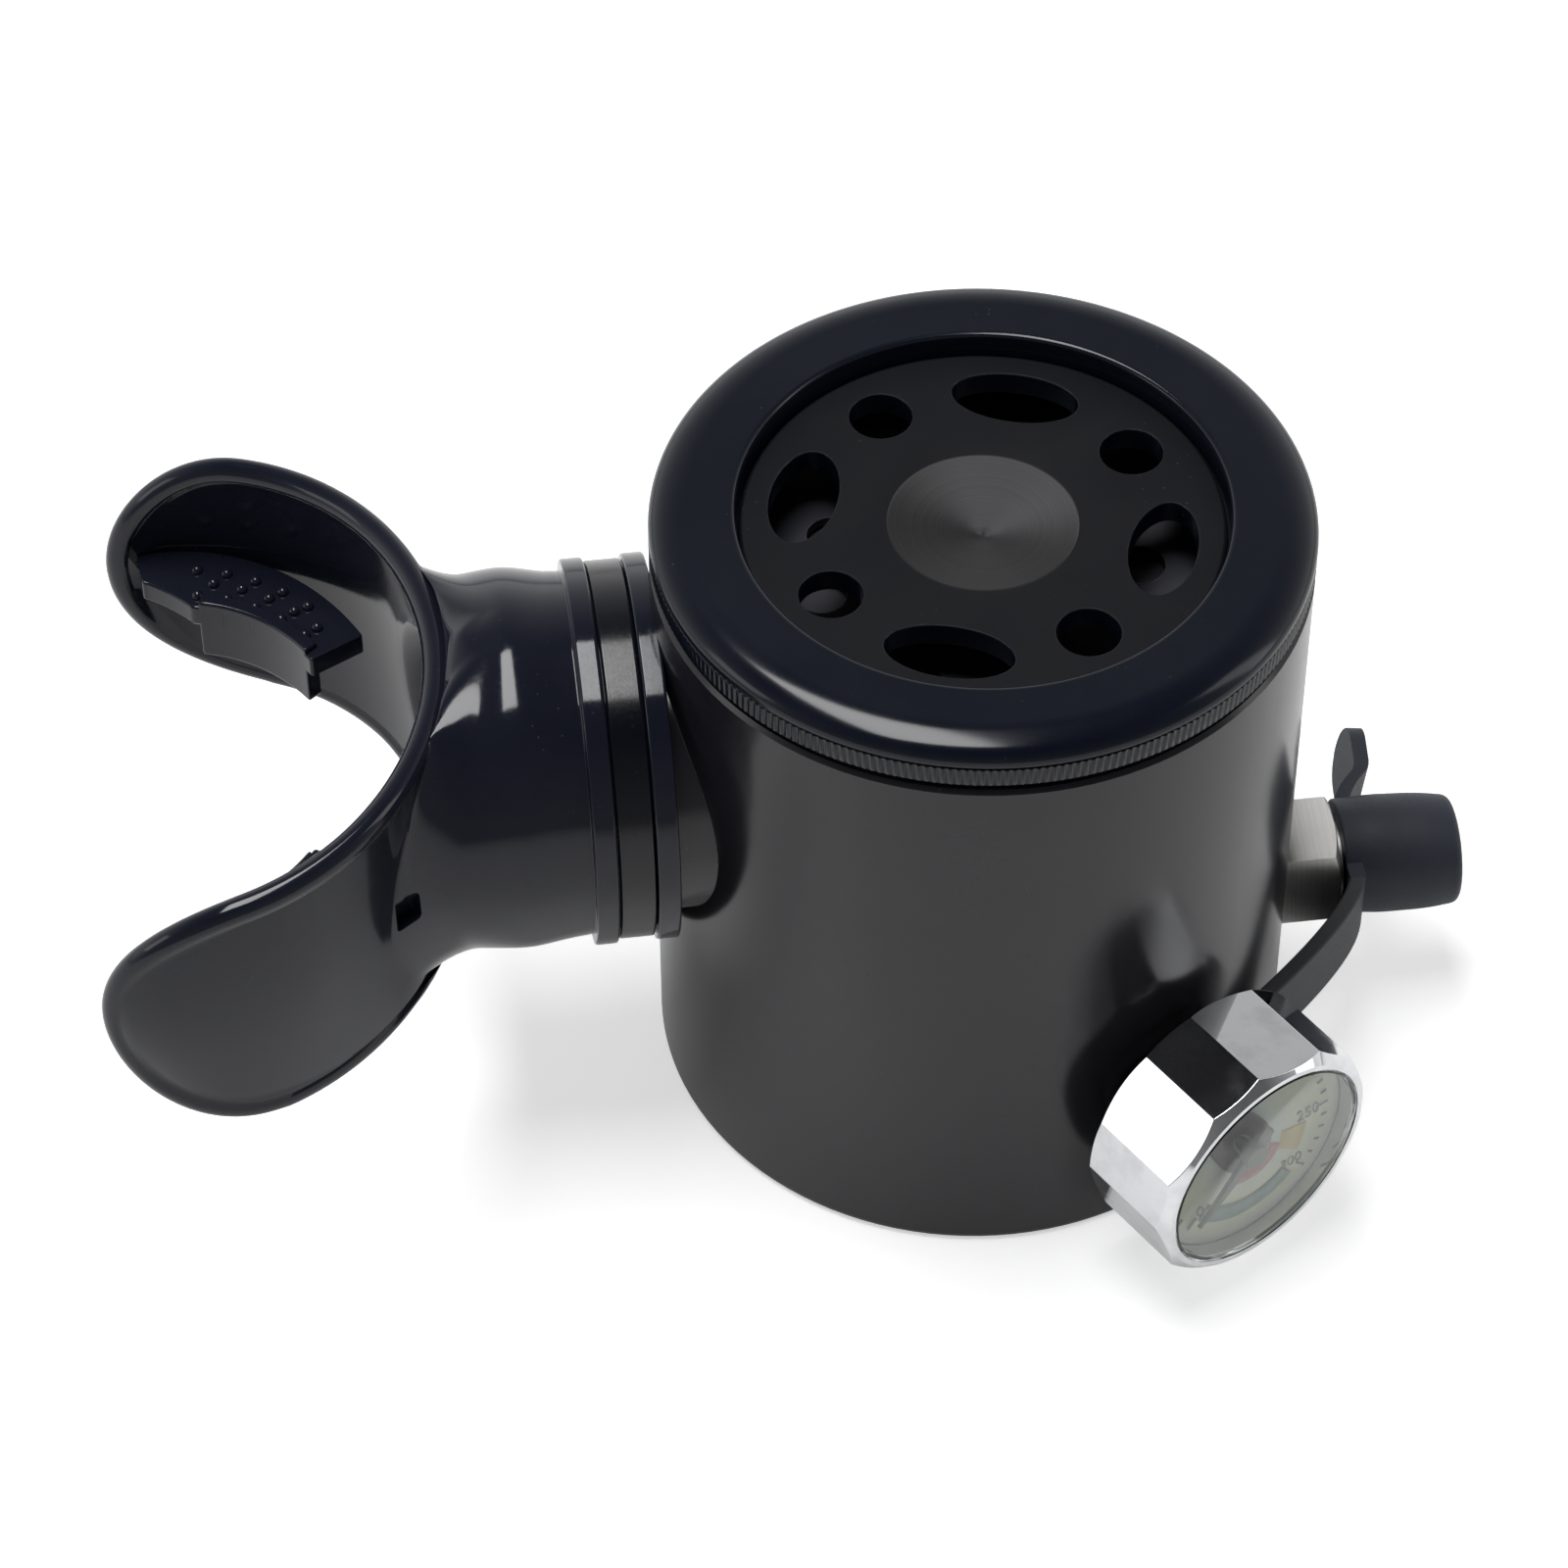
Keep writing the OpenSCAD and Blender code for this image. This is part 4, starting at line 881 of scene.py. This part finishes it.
discSet = {
    "edge": 0.16,
    "hollow": (9.7, 69.0, 0.7),   # its faces' reach, the height that they lie over and how far they look up
    "wall": 0.3,                  # how far a wall's face may look up or down
}
disc = softCopy("purgeDiscTurned", "purge_disc", "anodised_matte", "disc", discSet["edge"]).data
disc.materials.append(finishes["dimple"])
disc.materials.append(finishes["anodised_gloss"])
reach, level, upward = discSet["hollow"]
looks, heights = (readOut(disc.polygons, key)[:, 2] for key in ("normal", "center"))
hollow = (faceReach(disc) < reach * mm) & (looks > upward) & (heights > level * mm)
wallFaces = np.abs(looks) < discSet["wall"]
disc.polygons.foreach_set("material_index", (hollow + 2 * wallFaces).astype(np.int32))

hollowSet = {"radius": 9.5, "edge": 9.35, "depth": 2.0, "blunt": 0.5, "thick": 0.3, "clear": 0.027}


def hollowShape():
    # A skin over the disc's hollow: its height follows the root of radius squared plus a bluntness squared
    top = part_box("purge_disc")[1][2] / mm
    r = np.linspace(hollowSet["edge"], 0, 40)
    blunt = hollowSet["blunt"] ** 2
    rise = np.sqrt((r ** 2 + blunt) / (hollowSet["radius"] ** 2 + blunt))
    face = xyz(r, top - hollowSet["depth"] * (1 - rise) + hollowSet["clear"])
    under = [(0, face[-1, 1] - hollowSet["thick"]), (hollowSet["edge"], face[0, 1] - hollowSet["thick"])]
    return turnedShape(np.vstack([under, face]), 256, closed=False)


hollowPiece = makePiece("purgeHollow", hollowShape(), "dimple", body="disc")
hollowPiece.data.set_sharp_from_angle(angle=math.radians(40))
print("purge disc made", int(hollow.sum()), "faces in the dimple")

# Gauge

gaugeSet = {
    "direction": -59.0, "height": 17.3,
    "case": (35.2, 47.2),                   # back and front along its axis, mm
    "corner": 14.0, "wideFlat": 35.0, "turn": 48.0, "chamfer": 1.1,
    "bores": (3.6, 11.75, 12.3), "floors": (37.8, 45.7),
    "dial": 43.6,                           # where its face is
    "crystal": (45.8, 47.2, 0.7, 12.15),    # back, rim, rise and radius
    "dome": 0.985,                          # share of the radius at which the dome starts
}


def onGauge(shape):
    return onAxis(shape, gaugeSet["direction"], gaugeSet["height"])


def caseShape():
    # A ring section carried round the axis; its outside follows a twelve-sided outline whose flats are wide and
    # narrow in turn, and each corner ends where the outline meets the back or the front cone
    corner, wide = gaugeSet["corner"], math.radians(gaugeSet["wideFlat"])
    back, front = gaugeSet["case"]
    chamfer = gaugeSet["chamfer"]
    flat = corner * math.cos(wide / 2)
    half = np.array([wide / 2, math.radians(30) - wide / 2])
    share = np.linspace(-1, 1, 17)[:-1]
    angle = np.concatenate([k * math.radians(30) + half[k % 2] * share for k in range(12)])
    outline = np.concatenate([corner * math.cos(half[k % 2]) / np.cos(half[k % 2] * share) for k in range(12)])
    angle = angle + math.radians(gaugeSet["turn"])
    hole, bore, seat = gaugeSet["bores"]
    floor, shelf = gaugeSet["floors"]
    rise = 0.8 * (outline - flat + 0.1) / (corner + 0.3 - flat)
    rows = [(hole, back), (flat - 0.1, back), (outline, back + rise), (outline, front - chamfer + corner - outline),
            (corner - chamfer, front), (seat, front), (seat, shelf), (bore, shelf), (bore, floor), (hole, floor)]
    radius, height = (np.stack([np.broadcast_to(row[k], angle.shape) for row in rows]) for k in (0, 1))
    points = xyz(radius * np.cos(angle), radius * np.sin(angle), height).reshape(-1, 3)
    return onGauge((points, gridFaces(len(rows), len(angle), True, True).tolist()))


makePiece("gaugeCaseTurned", caseShape(), "chrome", replaced=["gauge_case"], edge=0.14, angle=20.0)


def crystalShape():
    # A flat-backed lens: its front rises as a shallow dome over a short straight rim
    back, rim, rise, radius = gaugeSet["crystal"]
    r = np.linspace(1, 0, 30) * gaugeSet["dome"]
    corners = [(0, back), (radius * 0.5, back), (radius - 0.15, back), (radius, back + 0.15), (radius, rim - 0.12)]
    profile = np.concatenate([corners, xyz(radius * r, rim + rise * (1 - r ** 2))])
    return onGauge(turnedShape(profile, 160, closed=False))


glassSet = {"clear": (0.95, 0.97, 0.96), "wiped": (0.90, 0.92, 0.91), "rough": (0.012, 0.035), "depth": 4e-7}


def makeGlass():
    # Clear plastic: slow wiping marks change its tone and its roughness a little
    material, shader, place = startFinish("crystal", IOR=1.49, Transmission_Weight=1.0)
    grain, blotch = use(grainGroup, place, Fine=900.0, Slow=120.0)
    tone = blendColours(stretchTo(blotch, 0.4, 0.7), glassSet["clear"], glassSet["wiped"])
    endFinish(shader, tone, stretchTo(blotch, 0.4, 0.7, *glassSet["rough"]), grain, glassSet["depth"])
    return material


paperSet = {
    "middle": (0.80, 0.88, 0.84), "fibre": (0.74, 0.78, 0.64), "rough": (0.5, 0.7), "depth": 4e-6,
    # from and to which radius in mm each next colour comes in
    "rings": (((0.86, 0.88, 0.66), 3.5, 6.5), ((0.90, 0.91, 0.80), 10.0, 10.6)),
}


def makeDial():
    # Pale printed paper: a cool middle, a yellow-green ring and fibres; the pattern is centred on the gauge's axis
    d, reach = math.radians(gaugeSet["direction"]), gaugeSet["dial"] * mm
    centre = (reach * math.cos(d), reach * math.sin(d), gaugeSet["height"] * mm)
    material, shader, place = startFinish("dial paper", turn=(0, math.radians(90), d), centre=centre)
    radius = radiusOf(axesOf(place))
    grain, blotch = use(grainGroup, place, Fine=3500.0, Slow=300.0)
    paper = paperSet["middle"]
    for colour, low, high in paperSet["rings"]:
        paper = blendColours(stretchTo(radius, low * mm, high * mm), paper, colour)
    paper = blendColours(stretchTo(blotch, 0.3, 0.7, 0.0, 0.35), paper, paperSet["fibre"])
    endFinish(shader, paper, stretchTo(grain, 0.3, 0.7, *paperSet["rough"]), grain, paperSet["depth"])
    return material


printSet = {
    "printRed": ((0.62, 0.24, 0.24), (0.70, 0.34, 0.33)),
    "printYellow": ((0.80, 0.62, 0.20), (0.84, 0.70, 0.32)),
    "printTeal": ((0.26, 0.42, 0.38), (0.36, 0.50, 0.46)),
    "printGrey": ((0.20, 0.19, 0.19), (0.30, 0.28, 0.28)),
    "printDark": ((0.20, 0.22, 0.20), (0.28, 0.30, 0.27)),
}


def makePrint(name):
    # Ink on paper: two tones mixed by a fine noise, with a slightly uneven gloss
    material, shader, place = startFinish(name)
    grain, blotch = use(grainGroup, place, Fine=4000.0, Slow=900.0)
    colour = blendColours(stretchTo(blotch, 0.35, 0.65), *printSet[name])
    endFinish(shader, colour, stretchTo(grain, 0.3, 0.7, 0.4, 0.6), grain, 2e-6)
    return material


finishes.update({name: makePrint(name) for name in printSet})
finishes["crystal"], finishes["dial"] = makeGlass(), makeDial()
crystalPiece = makePiece("gaugeCrystalDome", crystalShape(), "crystal", replaced=["gauge_crystal"])
crystalPiece.data.set_sharp_from_angle(angle=math.radians(25))


def onDial(right, up, above):
    # Points given as the dial is read, at a distance above its face
    return xyz(-up, right, above + gaugeSet["dial"])


def arcPatch(inner, outer, first, last, level=0.05):
    # A thin slab between two radii and two angles on the dial; angles run anticlockwise from the right
    t = np.radians(np.linspace(first, last, max(2, int(abs(last - first) / 3) + 2)))[:, None]
    r = np.array([inner, outer, outer, inner])
    return onGauge(sweptShape(onDial(r * np.cos(t), r * np.sin(t), level + np.array([0, 0, 0.04, 0.04]))))


# name, ink, inner and outer radius, first and last angle
dialArcs = [("dialArcRed", "printRed", 3.3, 4.5, -25, -120), ("dialArcYellow", "printYellow", 4.4, 7.4, -8, -34),
            ("dialArcTeal", "printTeal", 6.9, 8.9, -52, -132), ("dialArcHub", "printGrey", 1.0, 3.1, 0, 359.5)]
for name, ink, inner, outer, first, last in dialArcs:
    makePiece(name, arcPatch(inner, outer, first, last), ink)

scaleSet = {
    "span": (225, -45),                           # degrees
    "ticks": 31, "tick": (9.4, 8.6, 10.1, 0.7),   # inner radius, that of every fifth, outer radius, half width
    "numbers": (0, 50, 100, 150, 200, 250, 300), "size": 1.9, "radius": (7.6, 7.9),
}
short, tall, outer, half = scaleSet["tick"]
ticks = [arcPatch(short if k % 5 else tall, outer, a - half, a + half, 0.06)
         for k, a in enumerate(np.linspace(*scaleSet["span"], scaleSet["ticks"]))]
makePiece("dialTicks", joined(ticks), "printDark")


def makeNumbers():
    # Plain numbers, made a mesh and carried onto the dial; the 0 stands a little further out
    found = []
    values = scaleSet["numbers"]
    for value, angle in zip(values, np.radians(np.linspace(*scaleSet["span"], len(values)))):
        text = bpy.data.curves.new("number", "FONT")
        text.body, text.size, text.extrude = str(value), scaleSet["size"], 0.02
        text.align_x, text.align_y = "CENTER", "CENTER"
        text.resolution_u = 3
        holder = link("number", text)
        mesh = bpy.data.meshes.new_from_object(holder.evaluated_get(bpy.context.evaluated_depsgraph_get()))
        bpy.data.objects.remove(holder)
        x, y, z = readOut(mesh.vertices, "co").T
        r = scaleSet["radius"][0 if value else 1]
        found.append((onDial(x + r * math.cos(angle), y + r * math.sin(angle), z + 0.1),
                      [list(face.vertices) for face in mesh.polygons]))
        bpy.data.meshes.remove(mesh)
    return onGauge(joined(found))


numbers = makePiece("dialNumbers", makeNumbers(), "printDark")
numbers.data.shade_flat()
print("gauge made")

# Cap, tab and strap

capSet = {
    "flange": (39.3, 41.0), "end": 52.0, "height": 17.3,
    "radius": (6.15, 6.32, 5.75),   # at the foot, at its widest and at the tip
    "bore": 4.15, "floor": 49.8, "droop": 0.05,
    "soft": (0, 0.3, 0.25, 0.3, 0.3, 1.6, 1.6, 0.95, 0),
}


def capShape():
    # A short cup, a little wider past its flange and drawn in towards its rounded end; its outside droops a little
    f0, f1 = capSet["flange"]
    foot, waist, tip = capSet["radius"]
    end, bore, floor = capSet["end"], capSet["bore"], capSet["floor"]
    corners = [(0, floor), (bore, floor), (bore, f0), (foot, f0), (foot, f1 + 0.2), (waist, f1 + 2.4),
               (waist - 0.1, end - 3.5), (tip, end), (0, end)]
    profile = softCorners(corners, capSet["soft"], 6, closed=False)
    profile[[0, -1], 0] = 0
    points, faces = turnedShape(profile, 128, closed=False)
    outside = np.clip(np.hypot(points[:, 0], points[:, 1]) - bore, 0, 1) + (points[:, 2] > floor + 1)
    sag = capSet["droop"] * np.clip(points[:, 2] - f1, 0, None) * np.clip(outside, 0, 1)
    points = onAxis((points, faces), 0, capSet["height"])[0]
    points[:, 2] -= sag
    return points, faces


tabSet = {
    "foot": 6.65, "reach": 16.6, "wide": 8.0,
    # by how much, from which distance and over what length it gets thicker, turns in degrees and leans in mm
    "thicker": (0.02, 7.0, 9.0), "turn": (10.0, 5.5, 4.0), "lean": (2.7, 3.5, 5.0),
}


def tabShape():
    # A flat tongue across the cap's flange, with a square foot and a rounded pull end; thickness runs along X
    half, reach, foot = tabSet["wide"] / 2, tabSet["reach"], tabSet["foot"]
    back, front = capSet["flange"]
    w = np.linspace(0, 1, 40)[:, None]
    y = -foot + (reach + foot) * (1 - (1 - w) ** 1.6)
    near = np.clip((y - (reach - half)) / half, 0, 1)
    wide = half * np.sqrt(np.clip(1 - near ** 2.6, 0.0, 1)) + 0.02

    def grow(key, power):
        most, start, over = tabSet[key]
        return most * np.clip((y - start) / over, 0, 1) ** power

    turn, lean = np.radians(grow("turn", 2)), grow("lean", 1.2)
    middle = (back + front) / 2
    across = np.array([back, back, front, front]) * (1 + grow("thicker", 1)) - middle
    up = np.array([-1, 1, 1, -1.0]) * wide
    return sweptShape(xyz(middle + lean + across * np.cos(turn) + up * np.sin(turn), y,
                          capSet["height"] - across * np.sin(turn) + up * np.cos(turn)))


makePiece("dustCapMoulded", capShape(), "cap_rubber", body="cap", replaced=["dust_cap"])
makePiece("dustCapTab", tabShape(), "cap_rubber", body="cap", edge=0.25, segments=3)

strapSet = {
    "route": ((40.15, -6.4), (38.8, -11.4), (29.4, -19.7), (22.6, -25.2)),
    "wide": 8.0, "thick": 1.7, "soft": 0.35, "loopAt": 34.15, "loop": (5.15, 7.95),
}


def strapShape():
    # A rounded ribbon on edge, carried along a cubic curve in plan from the cap's flange to the loop
    p = [np.array(v) for v in strapSet["route"]]
    t = np.linspace(0, 1, 48)[:, None]
    line = (1 - t) ** 3 * p[0] + 3 * (1 - t) ** 2 * t * p[1] + 3 * (1 - t) * t ** 2 * p[2] + t ** 3 * p[3]
    along = unit(np.gradient(line, axis=0))
    side = xyz(-along[:, 1], along[:, 0])
    a, b = strapSet["thick"] / 2, strapSet["wide"] / 2
    section = softBox(-a, a, -b, b, strapSet["soft"])
    x, y = (line[:, None] + side[:, None] * section[None, :, :1]).transpose(2, 0, 1)
    return sweptShape(xyz(x, y, capSet["height"] + section[:, 1]))


def loopShape():
    # A flat ring round the gauge's stem
    r, q = strapSet["loop"]
    at, half = strapSet["loopAt"], strapSet["thick"] / 2
    return onGauge(turnedShape(softBox(r, q, at - half, at + half, strapSet["soft"]), 96))


strap = makePiece("capStrap", strapShape(), "strap_rubber", body=None)
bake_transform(strap)
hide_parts("cap_strap")
makePiece("capStrapLoop", loopShape(), "strap_rubber")
print("cap and strap made")

softCopy("fillValveSoft", "fill_valve_body", "nickelSide", "head", 0.12)

# Inside: wound springs in place of the CAD ones, and a diaphragm made of a middle, a rim and a fold in sectors

springSet = {
    # joint, axis, share of the length at which it stands still, travel and wire radius in mm, turns
    "purge_spring": ("purge_press", 2, 0, 2.6, 0.25, 2),
    "poppet_spring": ("poppet_lift", 2, 1, 1.42, 0.35, 4),
    "piston_spring": ("piston_stroke", 2, 0, 0.8, 0.6, 2),
    "fill_spring": ("fill_check_open", 0, 0, 1.0, 0.3, 4),
}


def helixShape(radius, wire, turns, low, high):
    # A round wire wound up a cylinder: height grows evenly with the angle
    t = np.linspace(0, 1, turns * 32 + 1)
    angle = 2 * math.pi * turns * t
    out = xyz(np.cos(angle), np.sin(angle), 0)
    line = out * radius + xyz(0, 0, low + wire + (high - low - 2 * wire) * t)
    up = np.cross(out, unit(np.gradient(line, axis=0)))
    side = np.linspace(0, 2 * math.pi, 10, endpoint=False)[None, :, None]
    return sweptShape(line[:, None] + wire * (np.cos(side) * out[:, None] + np.sin(side) * up[:, None]))


for node, (joint, axis, still, travel, wireRadius, turns) in springSet.items():
    low, high = (np.array(corner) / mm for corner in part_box(node))
    middle = (low + high) / 2
    across = (high - low)[1] / 2 - wireRadius
    points, faces = helixShape(across, wireRadius, turns, low[axis], high[axis])
    shape = (points + (middle[0], middle[1], 0), faces) if axis == 2 else onAxis((points, faces), 0, middle[2])
    spring = makePiece(node + "Wound", shape, "blackened" if node == "purge_spring" else "steel",
                       replaced=[node])
    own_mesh(spring)

skinSet = {
    "middle": 21.5,   # radius of the flat middle, which moves with the plate
    "fold": ((21.05, 22.25, 24.25, 25.25), (24.85, 23.85, 22.65, 21.45)), "depth": 1.2,
    "bead": 27.3, "sectors": 12, "steps": 6,
}


def skinMiddle():
    # The CAD diaphragm's faces inside the fold, closed again round their edge
    shape = merged("diaphragm")[1]
    outer = [face for face in shape.faces if max(v.co.xy.length for v in face.verts) > skinSet["middle"] * mm]
    bmesh.ops.delete(shape, geom=outer, context="FACES")
    bmesh.ops.bridge_loops(shape, edges=[edge for edge in shape.edges if edge.is_boundary])
    bmesh.ops.recalc_face_normals(shape, faces=shape.faces)
    points = np.array([v.co for v in shape.verts]) / mm
    faces = [[v.index for v in face.verts] for face in shape.faces]
    shape.free()
    return points, faces


skinLow, skinHigh = (np.array(corner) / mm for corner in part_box("diaphragm"))
skinUnder = skinLow[2] + skinSet["depth"]
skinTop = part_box("diaphragm_plate")[0][2] / mm
middlePiece = makePiece("diaphragmMiddle", skinMiddle(), "silicone", body="plate", replaced=["diaphragm"])
middlePiece.data.set_sharp_from_angle(angle=math.radians(30))
lower, upper = skinSet["fold"]
rimProfile = np.array([(lower[3], skinUnder), (skinHigh[0], skinUnder), (skinHigh[0], skinHigh[2]),
                       (skinSet["bead"], skinHigh[2]), (skinSet["bead"], skinTop), (upper[0], skinTop)])
makePiece("diaphragmRim", turnedShape(rimProfile, 96), "silicone", edge=0.05)
dip = np.array([0, -1, -1, 0]) * skinSet["depth"]
foldProfile = np.array(list(zip(lower, skinUnder + dip)) + list(zip(upper, skinTop + dip)))
wedge = 2 * math.pi / skinSet["sectors"]
for k in range(skinSet["sectors"]):
    angle = np.linspace(k, k + 1, skinSet["steps"] + 1)[:, None] * wedge
    sections = xyz(foldProfile[:, 0] * np.cos(angle), foldProfile[:, 0] * np.sin(angle), foldProfile[:, 1])
    piece = makePiece(f"diaphragmFold{k + 1}", sweptShape(sections), "silicone", body=None)
    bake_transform(piece)
print("springs and diaphragm made")

# Finishes of the CAD nodes that stay

slotOfNode = {part["node"]: part["material_slot"] for part in frame["record"]["subparts"]}
# The diaphragm plate takes the dark blackened finish in place of its own slot's, so that the purge disc's holes over it
# look dark: painted shade
special = {
    "guard_plate": "blackened", "diaphragm_plate": "blackened", "gauge_dial": "dial", "gauge_needle": "printDark",
    "fill_poppet": "nickelSide",
}
for name, node in nodes.items():
    wanted = special.get(name, slotOfNode.get(name, "steel"))
    finish = finishes.get(wanted, finishes["steel"])
    if not node.material_slots:
        node.data.materials.append(finish)
    for materialSlot in node.material_slots:
        materialSlot.material = finish
print("CAD finishes set")

# Floor, world and lamps

studioSet = {
    "floor": (0.86, 0.84),                 # pale and dim grey
    "floorGlow": (0.20, 0.36),             # for camera and mirror rays, and on top of it for the camera
    "floorGrid": (33, 3.0, 0.00005),       # points along a side, half a side and depth in metres
    "sky": (0.12, 0.85, 1.0, 0.03),        # from and to which sine of the elevation, and the strength at each
    "skySides": (-0.5, 0.25, 0.22, 1.0),   # darker in front than behind
}
lampSet = {
    # power, width and length, place and what it looks at
    "top": (6.9, 0.34, 0.60, (-0.145, 0.09, 0.92), (-0.145, 0.085, 0.04)),
    "right": (0.7, 0.18, 0.7, (0.75, -0.10, 0.42), (0.0, 0.0, 0.03)),
    "left": (0.5, 0.34, 0.30, (-0.85, -0.05, 0.37), (0.0, -0.03, 0.02)),
}


def rayShare(tree):
    # 1 for camera, glossy and transmission rays and 0 for the rest, then 1 for camera rays only
    path = tree.nodes.new("ShaderNodeLightPath").outputs
    both = calc("MAXIMUM", path["Is Glossy Ray"], path["Is Transmission Ray"])
    return calc("MAXIMUM", path["Is Camera Ray"], both), path["Is Camera Ray"]


def makeFloor():
    # A large flat sheet; its points are closer together near the object
    count, half, below = studioSet["floorGrid"]
    k = np.linspace(-1, 1, count)
    spread = np.sign(k) * np.abs(k) ** 2 * half
    mesh = bpy.data.meshes.new("floor")
    mesh.from_pydata(xyz(spread[:, None], spread, -below).reshape(-1, 3).tolist(), [], gridFaces(count, count).tolist())
    material, shader, place = startFinish("studio floor", Roughness=0.8, Emission_Color=(1, 1, 1, 1))
    blotch = use(grainGroup, place, Fine=400.0, Slow=8.0)[1]
    pale, dim = ((level,) * 3 for level in studioSet["floor"])
    feed(shader.inputs["Base Color"], blendColours(blotch, pale, dim))
    shown, seen = rayShare(material.node_tree)
    glow, more = studioSet["floorGlow"]
    feed(shader.inputs["Emission Strength"], calc("ADD", calc("MULTIPLY", shown, glow), calc("MULTIPLY", seen, more)))
    mesh.materials.append(material)
    floor = link("floor", mesh)


def makeWorld():
    # White low down and dark overhead for reflections, white all round for the camera
    world = bpy.data.worlds.new("studio")
    bpy.context.scene.world = world
    world.use_nodes = True
    tree = world.node_tree
    sky = tree.nodes["Background"].inputs
    axes = axesOf(tree.nodes.new("ShaderNodeTexCoord").outputs["Generated"])
    level = calc("MULTIPLY", stretchTo(axes[2], *studioSet["sky"]), stretchTo(axes[1], *studioSet["skySides"]))
    feed(sky["Strength"], calc("MAXIMUM", level, rayShare(tree)[1]))
    feed(sky["Color"], (1, 1, 1, 1))


def makeLamp(name, power, wide, long, place, aim):
    # A rectangular area lamp that the camera does not see
    data = bpy.data.lights.new(name, "AREA")
    data.energy = power
    data.shape = "RECTANGLE"
    data.size, data.size_y = wide, long
    lamp = link(name, data)
    back = unit(np.array(place) - aim)
    right = unit(np.cross((0, 1, 0.01) if abs(back[2]) > 0.9 else (0, 0, 1), back))
    lamp.matrix_world = standing(right, np.cross(back, right), back, place)
    lamp.visible_camera = False


makeFloor()
makeWorld()
for name, values in lampSet.items():
    makeLamp(name, *values)
print("studio made")
